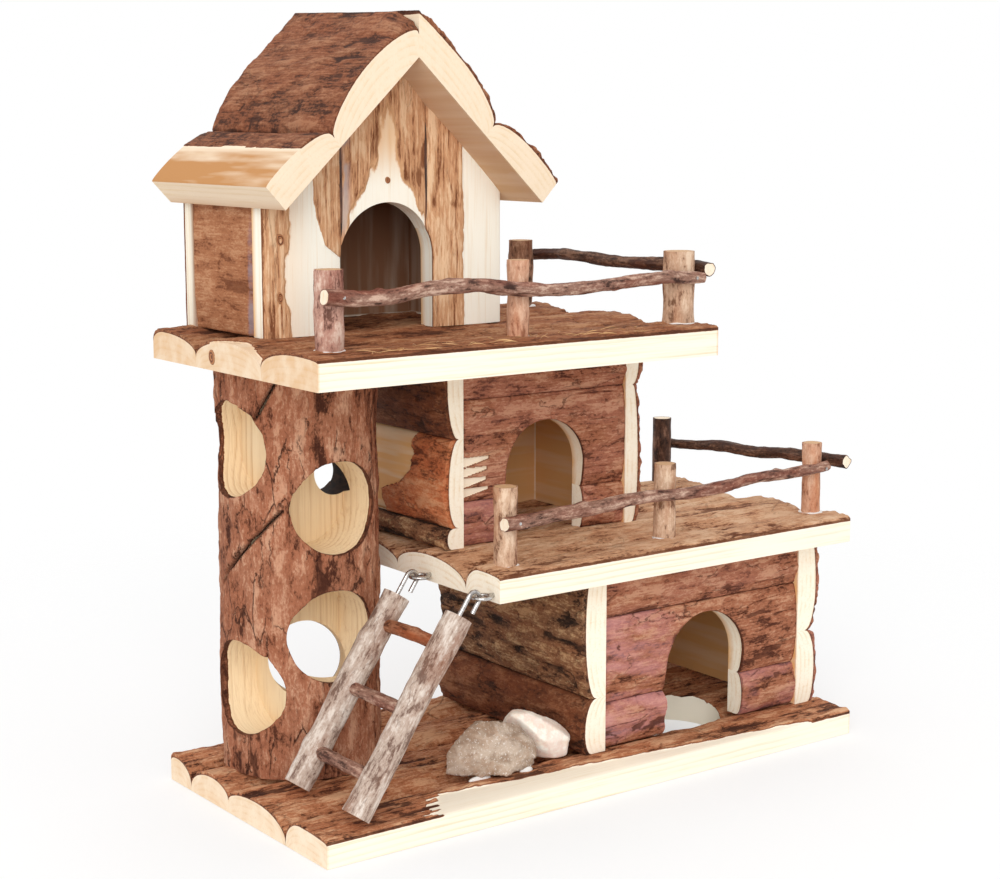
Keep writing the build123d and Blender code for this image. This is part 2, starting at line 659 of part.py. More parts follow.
# Railings: round posts on the decks, and twigs bradded to their outer sides
Post = namedtuple("Post", "name x y diameter")
Hold = namedtuple("Hold", "post height")
Rail = namedtuple("Rail", "name outward first last between first_overhang last_overhang")


def rail_centre(post, floor, height, outward):
    """Where a twig's centre line passes a post, on the post's outer side."""
    reach = post.diameter / 2 + RAIL_GAP + RAIL_DIAMETER / 2
    return Vector(post.x + reach * outward[0], post.y + reach * outward[1], floor + height)


def middle_post(name, first, last, diameter, share):
    """A post between two corner posts, whose front touches the same twig."""
    x = first.x + share * (last.x - first.x)
    first_face = first.y - first.diameter / 2
    last_face = last.y - last.diameter / 2
    face = first_face + share * (last_face - first_face)
    return Post(name, x, face + diameter / 2, diameter)


def brad(centre, outward, clearance):
    """A brad from a twig's outer side into its post, or its hole when given a clearance."""
    start = centre + Vector(*outward) * (RAIL_DIAMETER / 2 + clearance)
    length = RAIL_DIAMETER + RAIL_GAP + BRAD_SEAT + 2 * clearance
    inward = (-outward[0], -outward[1], 0)
    return rod(tuple(start), inward, BRAD_DIAMETER + 2 * clearance, length)


def railing(posts, rails, floor, post_height):
    """Writes a deck's posts and twigs, and gives back the brads that join them."""
    holes = []
    brads = []
    for rail in rails:
        first = rail_centre(rail.first.post, floor, rail.first.height, rail.outward)
        last = rail_centre(rail.last.post, floor, rail.last.height, rail.outward)
        along = (last - first).normalized()
        crossings = [first, last]
        for post in rail.between:
            share = (post.x - first.X) / (last.X - first.X)
            crossings.append(first + (last - first) * share)
        rail_holes = [brad(crossing, rail.outward, HOLE_CLEARANCE) for crossing in crossings]
        brads += [brad(crossing, rail.outward, 0) for crossing in crossings]
        holes += rail_holes
        start = first - along * rail.first_overhang
        length = (last - first).length + rail.first_overhang + rail.last_overhang
        twig = rod(tuple(start), tuple(along), RAIL_DIAMETER, length)
        with BuildPart() as rail_twig:
            add(twig)
            for hole in rail_holes:
                add(hole, mode=Mode.SUBTRACT)
        finish(rail_twig.part, rail.name)
    for post in posts:
        stick = rod((post.x, post.y, floor), UP, post.diameter, post_height)
        with BuildPart() as rail_post:
            add(stick)
            for hole in holes:
                add(hole, mode=Mode.SUBTRACT)
        finish(rail_post.part, post.name)
    return brads


def corner_rails(prefix, left, middle, right, back, heights, overhangs):
    """A front twig past the left, middle and right posts, and a side twig from the right post back.

    The front twig stops short of the side twig, which passes the right post a little higher.
    """
    left_height, right_height, back_height = heights
    left_overhang, front_overhang = overhangs
    right_overhang = right.diameter / 2 + RAIL_GAP - RAIL_END_GAP
    side_height = right_height + SIDE_RAIL_RISE
    front_holds = (Hold(left, left_height), Hold(right, right_height))
    side_holds = (Hold(right, side_height), Hold(back, back_height))
    return [
        Rail(f"{prefix}_front_rail", FRONT, *front_holds, [middle], left_overhang, right_overhang),
        Rail(f"{prefix}_side_rail", RIGHT, *side_holds, [], front_overhang, RAIL_BACK_OVERHANG),
    ]


top_left_post = Post(
    "top_post_front_left",
    top_left + TOP_LEFT_POST_INSET,
    top_front + TOP_LEFT_POST_SETBACK,
    TOP_LEFT_POST_DIAMETER,
)
top_right_post = Post(
    "top_post_front_right",
    top_right - TOP_RIGHT_POST_INSET,
    top_front + TOP_RIGHT_POST_SETBACK,
    TOP_RIGHT_POST_DIAMETER,
)
top_back_post = Post(
    "top_post_back_right",
    top_right - TOP_BACK_POST_INSET,
    top_back - TOP_BACK_POST_SETBACK,
    TOP_BACK_POST_DIAMETER,
)
top_middle_post = middle_post(
    "top_post_front_middle", top_left_post, top_right_post, TOP_MIDDLE_POST_DIAMETER, TOP_MIDDLE_POST_SHARE
)
top_rails = corner_rails(
    "top",
    top_left_post,
    top_middle_post,
    top_right_post,
    top_back_post,
    (TOP_RAIL_LEFT_HEIGHT, TOP_RAIL_RIGHT_HEIGHT, TOP_RAIL_BACK_HEIGHT),
    (TOP_RAIL_LEFT_OVERHANG, TOP_RAIL_FRONT_OVERHANG),
)
top_posts = [top_left_post, top_middle_post, top_right_post, top_back_post]

mid_left_post = Post(
    "mid_post_front_left",
    mid_left + MID_LEFT_POST_INSET,
    mid_front + MID_LEFT_POST_SETBACK,
    MID_LEFT_POST_DIAMETER,
)
mid_right_post = Post(
    "mid_post_front_right",
    mid_right - MID_RIGHT_POST_INSET,
    mid_front + MID_RIGHT_POST_SETBACK,
    MID_RIGHT_POST_DIAMETER,
)
mid_back_post = Post(
    "mid_post_back_right",
    mid_right - MID_BACK_POST_INSET,
    mid_back - MID_BACK_POST_SETBACK,
    MID_BACK_POST_DIAMETER,
)
mid_middle_post = middle_post(
    "mid_post_front_middle", mid_left_post, mid_right_post, MID_MIDDLE_POST_DIAMETER, MID_MIDDLE_POST_SHARE
)
mid_rails = corner_rails(
    "mid",
    mid_left_post,
    mid_middle_post,
    mid_right_post,
    mid_back_post,
    (MID_RAIL_LEFT_HEIGHT, MID_RAIL_RIGHT_HEIGHT, MID_RAIL_BACK_HEIGHT),
    (MID_RAIL_LEFT_OVERHANG, MID_RAIL_FRONT_OVERHANG),
)
mid_posts = [mid_left_post, mid_middle_post, mid_right_post, mid_back_post]

all_brads = railing(top_posts, top_rails, top_floor, TOP_POST_HEIGHT)
all_brads += railing(mid_posts, mid_rails, mid_floor, MID_POST_HEIGHT)
with BuildPart() as rail_brads:
    for pin in all_brads:
        add(pin)
finish(rail_brads.part, "rail_brads")

# Ladder: two stiles, the rungs socketed between them, and a hook in each stile's top
rung_sockets = rung_sticks(HOLE_CLEARANCE)
pilot_holes = hook_holes()
for name, y in stiles.items():
    stick = rod(on_ladder(-HOOK_REACH, y), ladder_down, STILE_DIAMETER, stile_length)
    with BuildPart() as stile:
        add(stick)
        for socket in rung_sockets + pilot_holes:
            add(socket, mode=Mode.SUBTRACT)
    finish(stile.part, name)
rungs = rung_sticks(0)
with BuildPart() as ladder_rungs:
    for rung in rungs:
        add(rung)
finish(ladder_rungs.part, "ladder_rungs")

with BuildPart() as ladder_hooks:
    for y in eye_ys:
        bend = HOOK_BEND_RADIUS
        with BuildLine(Plane(origin=(pivot_x, y, eye_z), x_dir=ladder_across, z_dir=FRONT)) as hook_line:
            Line((-bend, -HOOK_REACH - HOOK_SEAT), (-bend, 0))
            ThreePointArc((-bend, 0), (0, bend), (bend, 0))
            Line((bend, 0), (bend, -HOOK_TIP))
        with BuildSketch(Plane(origin=hook_line.line @ 0, z_dir=hook_line.line % 0)):
            Circle(HOOK_WIRE / 2)
        sweep(path=hook_line.line)
finish(ladder_hooks.part, "ladder_hooks")

shanks = eye_shanks(0)
with BuildPart() as screw_eyes:
    with Locations(*[(eye_x, y, eye_z) for y in eye_ys]):
        Torus(EYE_RING_DIAMETER / 2, EYE_WIRE / 2)
    for shank in shanks:
        add(shank)
finish(screw_eyes.part, "screw_eyes")

# Stones: angular outlines, as shares of half the width and depth, at shares of the height
GREY_STONE = [
    (0.0, [(-0.94, 0.35), (-0.6, -0.55), (0.0, -1.0), (0.72, -0.75), (0.9, -0.3), (-0.2, 0.85)]),
    (0.35, [(-1.0, 0.4), (-0.62, -0.5), (0.05, -0.95), (0.8, -0.78), (1.0, -0.35), (-0.15, 0.9)]),
    (0.78, [(-0.74, 0.25), (-0.5, -0.3), (0.08, -0.62), (0.6, -0.5), (0.7, -0.2), (-0.15, 0.6)]),
    (1.0, [(-0.56, 0.1), (-0.46, -0.08), (-0.15, -0.25), (0.1, -0.22), (0.14, -0.1), (-0.3, 0.3)]),
]
PALE_STONE = [
    (0.0, [(0.0, -0.3), (0.15, -0.8), (0.7, -0.85), (0.95, -0.4), (0.6, 0.5), (0.0, 0.4)]),
    (0.4, [(-0.6, -0.1), (0.0, -0.9), (0.75, -1.0), (1.0, -0.5), (0.6, 0.7), (-0.4, 0.7)]),
    (0.75, [(-0.98, 0.0), (-0.45, -0.6), (0.3, -0.75), (0.65, -0.3), (0.3, 0.8), (-0.7, 0.8)]),
    (1.0, [(-0.75, 0.1), (-0.5, -0.3), (-0.05, -0.35), (0.1, 0.0), (-0.1, 0.5), (-0.5, 0.5)]),
]


def stone(centre_x, centre_y, width, depth, height, sections):
    """A stone through level outlines."""
    with BuildPart() as rock:
        for share, outline in sections:
            with BuildSketch(Plane(origin=(centre_x, centre_y, base_floor + share * height))):
                Polygon(*[(x * width / 2, y * depth / 2) for x, y in outline], align=None)
        loft(ruled=True)
    return rock.part


pale_x = ground_left_inner - GROUND_LEFT_THICKNESS - STONE_GAP - PALE_STONE_WIDTH / 2
pale_y = base_front + PALE_STONE_SETBACK
grey_x = pale_x - PALE_STONE_WIDTH / 2 - STONE_GAP - GREY_STONE_WIDTH / 2 + GREY_STONE_LAP
grey_y = base_front + GREY_STONE_SETBACK
pale_stone = stone(pale_x, pale_y, PALE_STONE_WIDTH, PALE_STONE_DEPTH, PALE_STONE_HEIGHT, PALE_STONE)
finish(pale_stone, "stone_pale")
grey_stone = stone(grey_x, grey_y, GREY_STONE_WIDTH, GREY_STONE_DEPTH, GREY_STONE_HEIGHT, GREY_STONE)
finish(grey_stone, "stone_grey")
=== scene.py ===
# %% [markdown]
# A play house for small rodents, built from slabs of log with the bark left on.
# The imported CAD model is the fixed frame: it says where every slab, stick and stone sits.
# Each step below dresses some of its pieces with bark, sawn wood, wire or stone.

# %% Load the frame
import bmesh
import bpy
import json
import numpy as np
from collections import namedtuple
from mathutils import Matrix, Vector

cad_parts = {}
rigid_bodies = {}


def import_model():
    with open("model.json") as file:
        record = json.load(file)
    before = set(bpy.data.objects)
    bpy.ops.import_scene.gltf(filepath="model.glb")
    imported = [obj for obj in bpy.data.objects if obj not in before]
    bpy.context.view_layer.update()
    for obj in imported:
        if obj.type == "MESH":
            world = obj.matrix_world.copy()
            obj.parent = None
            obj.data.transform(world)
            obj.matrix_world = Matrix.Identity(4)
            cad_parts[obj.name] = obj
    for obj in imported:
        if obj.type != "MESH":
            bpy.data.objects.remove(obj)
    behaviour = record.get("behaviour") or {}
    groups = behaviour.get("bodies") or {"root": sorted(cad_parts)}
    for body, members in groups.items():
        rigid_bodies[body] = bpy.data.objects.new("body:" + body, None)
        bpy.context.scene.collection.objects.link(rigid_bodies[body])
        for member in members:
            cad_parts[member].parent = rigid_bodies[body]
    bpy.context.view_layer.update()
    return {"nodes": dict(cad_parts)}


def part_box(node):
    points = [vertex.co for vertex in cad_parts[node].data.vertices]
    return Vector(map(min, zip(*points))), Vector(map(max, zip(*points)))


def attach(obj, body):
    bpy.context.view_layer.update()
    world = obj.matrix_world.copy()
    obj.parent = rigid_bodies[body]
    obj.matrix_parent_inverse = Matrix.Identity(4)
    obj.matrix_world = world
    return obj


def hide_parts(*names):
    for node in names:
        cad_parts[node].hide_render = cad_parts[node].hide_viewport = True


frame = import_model()

# %% [markdown]
# The camera stands a little above the top deck, to the left of the front, about three quarters of a metre away.
# A long lens keeps the uprights nearly parallel. Aiming it with a direction vector is easier to read than
# turning it by three angles.

# %% Camera
CAMERA_PLACE = Vector((-0.45449, -0.60214, 0.25254))
CAMERA_YAW = np.radians(36.35)
CAMERA_PITCH = np.radians(9.28)
CAMERA_LENS = 69.93

looking = Vector((
    np.sin(CAMERA_YAW) * np.cos(CAMERA_PITCH),
    np.cos(CAMERA_YAW) * np.cos(CAMERA_PITCH),
    -np.sin(CAMERA_PITCH),
))
camera_data = bpy.data.cameras.new("camera")
camera_data.lens = CAMERA_LENS
camera_data.sensor_width = 36.0
camera_data.clip_start = 0.02
camera_data.clip_end = 20.0
camera = bpy.data.objects.new("camera", camera_data)
camera.location = CAMERA_PLACE
camera.rotation_mode = "QUATERNION"
camera.rotation_quaternion = looking.to_track_quat("-Z", "Y")
scene = bpy.context.scene
scene.collection.objects.link(camera)
scene.camera = camera
scene.view_settings.view_transform = "Standard"
print("camera looks along", tuple(round(c, 3) for c in looking))

# %% [markdown]
# Node trees are wired many times below, so small helpers do it. One places a node and fills its sockets, where a
# socket is given either a value or another node's output. One turns a colour as it is seen into the linear values
# that shaders mix. The others name what a few common nodes are used for.


# %% Node helpers
def paint(red, green, blue):
    """A colour as it is seen, 0 to 255 a channel, as linear values: the sRGB curve undone."""
    seen = np.array([red, green, blue]) / 255
    linear = np.where(seen <= 0.04045, seen / 12.92, ((seen + 0.055) / 1.055) ** 2.4)
    return (*linear.tolist(), 1.0)


def put(tree, kind, sockets=None, **settings):
    """One node with its settings and its input sockets filled or linked."""
    node = tree.nodes.new(kind)
    for name, value in settings.items():
        setattr(node, name, value)
    for name, value in (sockets or {}).items():
        if isinstance(value, bpy.types.NodeSocket):
            tree.links.new(value, node.inputs[name])
        else:
            node.inputs[name].default_value = value
    return node


def sums(tree, operation, first, second=0.0, third=0.0):
    """A Math node's result."""
    node = put(tree, "ShaderNodeMath", {0: first, 1: second, 2: third}, operation=operation)
    return node.outputs[0]


def times(tree, first, second, plus=0.0):
    """first * second + plus."""
    return sums(tree, "MULTIPLY_ADD", first, second, plus)


def ease(tree, value, low, high):
    """0 below low, 1 above high and a smooth step between them."""
    sockets = {"Value": value, "From Min": low, "From Max": high}
    return put(tree, "ShaderNodeMapRange", sockets, interpolation_type="SMOOTHSTEP").outputs["Result"]


def mixed(tree, share, first, second, blend="MIX"):
    """Two colours mixed by a share."""
    node = put(tree, "ShaderNodeMix", {0: share, 6: first, 7: second}, data_type="RGBA", blend_type=blend)
    return node.outputs[2]


def scaled(tree, vector, factors):
    """A vector multiplied in each of its three directions."""
    return put(tree, "ShaderNodeVectorMath", {0: vector, 1: factors}, operation="MULTIPLY").outputs[0]


def speckle(tree, vector, factors, detail=4.0, rough=0.6):
    """Noise on a vector that is first scaled in its three directions."""
    sockets = {"Vector": scaled(tree, vector, factors), "Scale": 1.0, "Detail": detail, "Roughness": rough}
    return put(tree, "ShaderNodeTexNoise", sockets).outputs[0]


print("a middle grey is", paint(128, 128, 128))

# %% [markdown]
# An effect that several finishes share becomes a node group with named sockets. Every material starts from the
# Principled shader that Blender gives it, has its constants set on that shader's own sockets, and is dressed with
# a colour and, where it is rough, a bump.


# %% Groups and finishes
def new_group(name, inputs, outputs):
    """An empty shader node group with named sockets: its tree, what it is given and what it puts out."""
    tree = bpy.data.node_groups.new(name, "ShaderNodeTree")
    for socket_name, kind in inputs:
        tree.interface.new_socket(socket_name, in_out="INPUT", socket_type=kind)
    for socket_name, kind in outputs:
        tree.interface.new_socket(socket_name, in_out="OUTPUT", socket_type=kind)
    return tree, tree.nodes.new("NodeGroupInput").outputs, tree.nodes.new("NodeGroupOutput").inputs


def new_finish(name, constants=None):
    """A material with its node tree and its Principled shader, whose constant sockets are set by name."""
    finish = bpy.data.materials.new(name)
    finish.use_nodes = True
    shader = finish.node_tree.nodes["Principled BSDF"]
    for socket, value in (constants or {}).items():
        shader.inputs[socket].default_value = value
    return finish, finish.node_tree, shader


def dress(tree, shader, colour, height=None, strength=1.0, distance=0.0):
    """Gives a shader its colour and, where there is a height, the normal that a Bump node makes of it."""
    tree.links.new(colour, shader.inputs["Base Color"])
    if height is not None:
        bumped = put(tree, "ShaderNodeBump", {"Height": height, "Strength": strength, "Distance": distance})
        tree.links.new(bumped.outputs["Normal"], shader.inputs["Normal"])


def object_place(tree):
    """Where a point of the surface lies, in metres."""
    return put(tree, "ShaderNodeTexCoord").outputs["Object"]


VECTOR, COLOUR, VALUE = "NodeSocketVector", "NodeSocketColor", "NodeSocketFloat"
print("group sockets:", VECTOR, COLOUR, VALUE)

# %% [markdown]
# Soft studio light: a pale world fills every side, a broad lamp from the upper left front gives form, and a weaker
# one overhead lifts the decks. The camera sees the world as plain white, and so do reflections, while the light
# it gives is set on its own. The floor fades out into that white.

# %% Light
WORLD_LIGHT = 0.81
LAMPS = [
    ("key", (-1.16, -1.42, 0.94), 1.4, 22.0),
    ("top", (0.2, 0.3, 1.9), 1.4, 5.0),
]
HOUSE_MIDDLE = Vector((0.0, 0.0, 0.13))

world = bpy.data.worlds.new("studio")
scene.world = world
world.use_nodes = True
tree = world.node_tree
rays = put(tree, "ShaderNodeLightPath")
seen = sums(tree, "MAXIMUM", rays.outputs["Is Camera Ray"], rays.outputs["Is Glossy Ray"])
seen = sums(tree, "MAXIMUM", seen, rays.outputs["Is Transmission Ray"])
strength = times(tree, seen, 1.0 - WORLD_LIGHT, WORLD_LIGHT)
tree.links.new(strength, tree.nodes["Background"].inputs["Strength"])
tree.nodes["Background"].inputs["Color"].default_value = (1.0, 1.0, 1.0, 1.0)

for name, place, size, power in LAMPS:
    lamp_data = bpy.data.lights.new(name, "AREA")
    lamp_data.size = size
    lamp_data.energy = power
    lamp = bpy.data.objects.new(name, lamp_data)
    lamp.location = place
    lamp.rotation_mode = "QUATERNION"
    lamp.rotation_quaternion = (HOUSE_MIDDLE - Vector(place)).to_track_quat("-Z", "Y")
    scene.collection.objects.link(lamp)
print("lamps:", [row[0] for row in LAMPS])

# %% Pale floor
FLOOR_REACH, FLOOR_DROP = 1.0, 0.0002
FLOOR_FADE = (0.25, 0.55)
FLOOR_GLOW = 0.5
corners = FLOOR_REACH * np.array([(-1, -1), (1, -1), (1, 1), (-1, 1)])
floor_mesh = bpy.data.meshes.new("floor")
floor_mesh.from_pydata(np.column_stack([corners, np.full(4, -FLOOR_DROP)]).tolist(), [], [(0, 1, 2, 3)])
floor = bpy.data.objects.new("floor", floor_mesh)
scene.collection.objects.link(floor)
floor_paint, tree, _ = new_finish("pale_floor")
reach = put(tree, "ShaderNodeVectorMath", {0: object_place(tree)}, operation="LENGTH").outputs["Value"]
lit = put(tree, "ShaderNodeBsdfDiffuse", {"Color": (0.93, 0.93, 0.93, 1.0)})
white = put(tree, "ShaderNodeEmission", {"Color": (1.0, 1.0, 1.0, 1.0), "Strength": 1.0})
straight = put(tree, "ShaderNodeLightPath").outputs["Is Camera Ray"]
near = put(tree, "ShaderNodeMixShader", {0: times(tree, straight, FLOOR_GLOW)})
tree.links.new(lit.outputs[0], near.inputs[1])
tree.links.new(white.outputs[0], near.inputs[2])
away = put(tree, "ShaderNodeBsdfTransparent")
fade = put(tree, "ShaderNodeMixShader", {0: ease(tree, reach, *FLOOR_FADE)})
tree.links.new(near.outputs[0], fade.inputs[1])
tree.links.new(away.outputs[0], fade.inputs[2])
tree.links.new(fade.outputs[0], tree.nodes["Material Output"].inputs["Surface"])
floor_mesh.materials.append(floor_paint)
print("floor reaches", FLOOR_REACH, "m")

# %% [markdown]
# Bark and broken stone are uneven at every scale. A lattice noise does that: each whole-number point of space
# gets a repeatable random number, and places between are blended smoothly. Adding finer copies of it gives
# roughness with detail. It is worked out here in numpy, so that the unevenness is real geometry.

# %% Noise
PRIMES = [np.uint64(p) for p in (73856093, 19349663, 83492791)]
STIR = [np.uint64(s) for s in (2246822519, 3266489917)]
SEED_STEP = 2654435761
LOW_HALF = np.uint64(0xFFFFFFFF)
CORNERS = np.array(np.meshgrid([0, 1], [0, 1], [0, 1])).T.reshape(-1, 3)


def scatter(cells, seed):
    """A number from -1 to 1 for each whole-number cell: indices times primes, joined by xor and stirred twice."""
    whole = cells.astype(np.int64).astype(np.uint64)
    mix = whole[..., 0] * PRIMES[0] ^ whole[..., 1] * PRIMES[1] ^ whole[..., 2] * PRIMES[2]
    mix = (mix ^ np.uint64(seed * SEED_STEP)) & LOW_HALF
    mix = ((mix ^ (mix >> np.uint64(15))) * STIR[0]) & LOW_HALF
    mix = ((mix ^ (mix >> np.uint64(13))) * STIR[1]) & LOW_HALF
    return (mix ^ (mix >> np.uint64(16))) / 2.0**31 - 1.0


def noise(points, seed):
    """Lattice noise from -1 to 1: the eight corner numbers of a point's cell, blended by an eased share."""
    cell = np.floor(points)
    part = points - cell
    part = part**3 * (part * (part * 6 - 15) + 10)
    total = np.zeros(points.shape[:-1])
    for corner in CORNERS:
        weight = np.where(corner, part, 1 - part).prod(axis=-1)
        total += weight * scatter(cell + corner, seed)
    return total


def layers(points, seed, count):
    """Noise plus copies of it, each twice as fine and half as strong."""
    return sum(noise(points * 2.0**k, seed + k) / 2.0**k for k in range(count))


def at(first, second, third=0.0):
    """Three coordinate arrays side by side as points."""
    return np.stack(np.broadcast_arrays(first, second, third), axis=-1).astype(float)


def smooth(value, low, high):
    """0 below low, 1 above high, and t*t*(3-2t) between them."""
    t = np.clip((value - low) / (high - low), 0, 1)
    return t * t * (3 - 2 * t)


print("noise at one point:", noise(np.array([[0.3, 1.7, 2.2]]), 1).round(3))

# %% [markdown]
# The bark of this wood lies in thin plates that are long with the log. Their edges make small cliffs, and
# fissures run between them. A slow noise that is cut into steps gives the plates, and the places where a
# second noise passes through zero give the fissures.


# %% Bark relief
def terrace(value, cliff):
    """Steps of one: level for most of each unit, with a rise over its last share."""
    step = np.floor(value)
    return step + smooth(value - step, 1 - cliff, 1.0)


def bark_relief(along, across, third, seed):
    """Bark height in mm: stepped broad and finer noise, less fissures where a third noise is near zero, plus grit."""
    plates = 2.4 * layers(at(along / 32, across / 7, third / 7), seed, 3)
    flakes = 2.0 * layers(at(along / 11, across / 3.0, third / 3.0), seed + 31, 2)
    near_zero = np.abs(noise(at(along / 40, across / 5.5, third / 5.5), seed + 11))
    open_here = smooth(noise(at(along / 25, across / 9, third / 9), seed + 47), -0.5, 0.3)
    fissure = (1 - smooth(near_zero, 0.0, 0.07)) * open_here
    grit = noise(at(along / 2.8, across / 1.6, third / 1.6), seed + 23)
    return 0.24 * terrace(plates, 0.3) + 0.19 * terrace(flakes, 0.4) - 0.6 * fissure + 0.13 * grit + 0.15


sample = bark_relief(np.linspace(0, 100, 500), np.linspace(0, 40, 500), np.zeros(500), 3)
print("bark relief runs from", sample.min().round(2), "to", sample.max().round(2), "mm")

# %% [markdown]
# Every slab is a block whose skin is a lattice: along the log, across it, and from the sawn side up to the bark.
# Modelling it as one skin, rather than gluing six sheets together, leaves no open seam.
# Two thin layers just under the bark carry the brown rim that shows at each sawn end.

# %% Skins
BARK_LAYER = 4
skins = {}


def grid_quads(ids):
    """Quads of a grid of point numbers, facing first direction cross second direction."""
    corners = [ids[:-1, :-1], ids[1:, :-1], ids[1:, 1:], ids[:-1, 1:]]
    return np.stack(corners, axis=-1).reshape(-1, 4)


def rolled_ids(rows, columns):
    """Point numbers of a grid, and the same with the first column again at the end, which closes it to a tube."""
    ids = np.arange(rows * columns).reshape(rows, columns)
    return ids, np.concatenate([ids, ids[:, :1]], axis=1)


def block_skin(rows, columns):
    """The skin of a block of lattice points: outer points as (row, column, layer), and quads facing out."""
    key = (rows, columns)
    if key in skins:
        return skins[key]
    shape = (rows + 1, columns + 1, BARK_LAYER + 1)
    index = np.indices(shape)
    last = np.array(shape).reshape(3, 1, 1, 1) - 1
    outer = ((index == 0) | (index == last)).any(axis=0)
    ids = np.full(shape, -1)
    ids[outer] = np.arange(outer.sum())
    quads = [grid_quads(ids[:, :, -1]), grid_quads(ids[:, :, 0])[:, ::-1]]
    quads += [grid_quads(ids[-1]), grid_quads(ids[0])[:, ::-1]]
    quads += [grid_quads(ids[:, 0]), grid_quads(ids[:, -1])[:, ::-1]]
    skins[key] = (np.argwhere(outer), np.concatenate(quads))
    return skins[key]


print("skin of a 2 by 2 block:", block_skin(2, 2)[0].shape[0], "points")

# %% [markdown]
# A skin that has been worked out becomes a mesh. foreach_set hands whole arrays to Blender at once, which is much
# faster than adding points one by one. Numbers that a finish needs are stored with each point as attributes.
# A piece then says which body it rides on and which CAD nodes it stands for.

# %% Meshes and pieces
MM = 0.001
SHARP_EDGE = 38.0


def fill_mesh(name, points, quads):
    """A mesh from points in millimetres and faces given as rows of point numbers."""
    mesh = bpy.data.meshes.new(name)
    corners = quads.shape[1]
    mesh.vertices.add(len(points))
    mesh.vertices.foreach_set("co", (points * MM).astype(np.float32).ravel())
    mesh.loops.add(quads.size)
    mesh.loops.foreach_set("vertex_index", quads.astype(np.int32).ravel())
    mesh.polygons.add(len(quads))
    mesh.polygons.foreach_set("loop_start", np.arange(0, quads.size, corners, dtype=np.int32))
    mesh.update(calc_edges=True)
    mesh.validate()
    return mesh


def close_ends(mesh, ids):
    """Adds one many-sided face over the last small ring at each end, and turns all faces outwards."""
    made = bmesh.new()
    made.from_mesh(mesh)
    made.verts.ensure_lookup_table()
    for ring in (ids[0], ids[-1][::-1]):
        made.faces.new([made.verts[k] for k in ring])
    bmesh.ops.recalc_face_normals(made, faces=made.faces)
    made.to_mesh(mesh)
    made.free()


def keep(mesh, name, values):
    """Stores one number or one vector per point under a name that the material reads."""
    kind, field = ("FLOAT", "value") if values.ndim == 1 else ("FLOAT_VECTOR", "vector")
    layer = mesh.attributes.get(name) or mesh.attributes.new(name, kind, "POINT")
    layer.data.foreach_set(field, values.astype(np.float32).ravel())


def piece(name, mesh, finish, nodes=(), body="house", sharp=SHARP_EDGE):
    """Places a mesh as a finished piece: smooth but for its sharp edges, riding on a body, standing for nodes."""
    made = bpy.data.objects.new(name, mesh)
    scene.collection.objects.link(made)
    mesh.materials.append(finish)
    mesh.shade_smooth()
    mesh.set_sharp_from_angle(angle=np.radians(sharp))
    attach(made, body)
    if nodes:
        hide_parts(*nodes)
    return made


print("edges over", SHARP_EDGE, "degrees stay sharp")

# %% [markdown]
# Bark is brown: darker in its fissures and paler on its plates, partly its own colour and partly painted shade, with
# flecks of dust.
# Sawn wood is cream: year rings follow the bark, because each ring was once the outside of the tree, so their
# lines come from the depth below the bark. Both are node groups, so that every wooden piece shares them.

# %% Bark tones
WARM_TINT = (0.87, 0.80, 0.70, 1.0)
tree, given, result = new_group(
    "bark tones",
    [("Grain", VECTOR), ("Relief", VALUE), ("Dark", COLOUR), ("Middle", COLOUR), ("Light", COLOUR),
     ("Dust", COLOUR), ("Dustiness", VALUE), ("Blush", COLOUR), ("Blushing", VALUE), ("Cracks", VALUE),
     ("Fibrous", VALUE)],
    [("Color", COLOUR), ("Height", VALUE)],
)
grain = given["Grain"]
mottle = speckle(tree, grain, (0.09, 0.19, 0.19), 6.0, 0.62)
fibre = speckle(tree, grain, (0.09, 1.0, 1.0), 6.0, 0.68)
fleck = speckle(tree, grain, (0.6, 1.15, 1.15), 4.0, 0.72)
sockets = {0: scaled(tree, grain, (0.045, 0.12, 0.12)), 1: times(tree, mottle, 1.1, -0.55)}
bent = put(tree, "ShaderNodeVectorMath", sockets, operation="ADD").outputs[0]
cells = put(tree, "ShaderNodeTexVoronoi", {"Vector": bent, "Scale": 1.0}, feature="DISTANCE_TO_EDGE")
from_edge = times(tree, fleck, 0.05, cells.outputs["Distance"])
crack = sums(tree, "SUBTRACT", 1.0, ease(tree, from_edge, 0.024, 0.058))
crack = times(tree, crack, ease(tree, speckle(tree, grain, (0.05, 0.11, 0.11), 2.0), 0.46, 0.58))
crack = times(tree, crack, given["Cracks"])
plate = put(tree, "ShaderNodeTexVoronoi", {"Vector": scaled(tree, bent, (2.4,) * 3), "Scale": 1.0}).outputs["Color"]
tone = times(tree, sums(tree, "SUBTRACT", fibre, 0.5), given["Fibrous"])
tone = times(tree, sums(tree, "SUBTRACT", plate, 0.5), 0.3, tone)
tone = times(tree, mottle, 1.5, tone)
tone = times(tree, fleck, 1.3, tone)
# Higher relief is paler and lower relief darker: partly the bark's own colour and partly painted shade.
tone = times(tree, given["Relief"], 0.5, tone)
tone = sums(tree, "SUBTRACT", tone, 1.15)
colour = mixed(tree, ease(tree, tone, 0.02, 0.46), given["Dark"], given["Middle"])
colour = mixed(tree, ease(tree, tone, 0.46, 0.92), colour, given["Light"])
blush = ease(tree, speckle(tree, grain, (0.03, 0.08, 0.08), 4.0), 0.36, 0.62)
blush = times(tree, blush, given["Blushing"])
colour = mixed(tree, blush, colour, given["Blush"], "SOFT_LIGHT")
colour = mixed(tree, times(tree, blush, 0.6), colour, given["Blush"])
dust = times(tree, ease(tree, fleck, 0.62, 0.74), given["Dustiness"])
colour = mixed(tree, dust, colour, given["Dust"])
# Low relief, in the fissures, goes to the dark colour: partly the bark's own colour and partly painted shade.
sunk = times(tree, sums(tree, "SUBTRACT", 1.0, ease(tree, given["Relief"], 0.0, 0.09)), 0.75)
colour = mixed(tree, sums(tree, "MAXIMUM", crack, sunk), colour, given["Dark"])
colour = mixed(tree, 1.0, colour, WARM_TINT, "MULTIPLY")
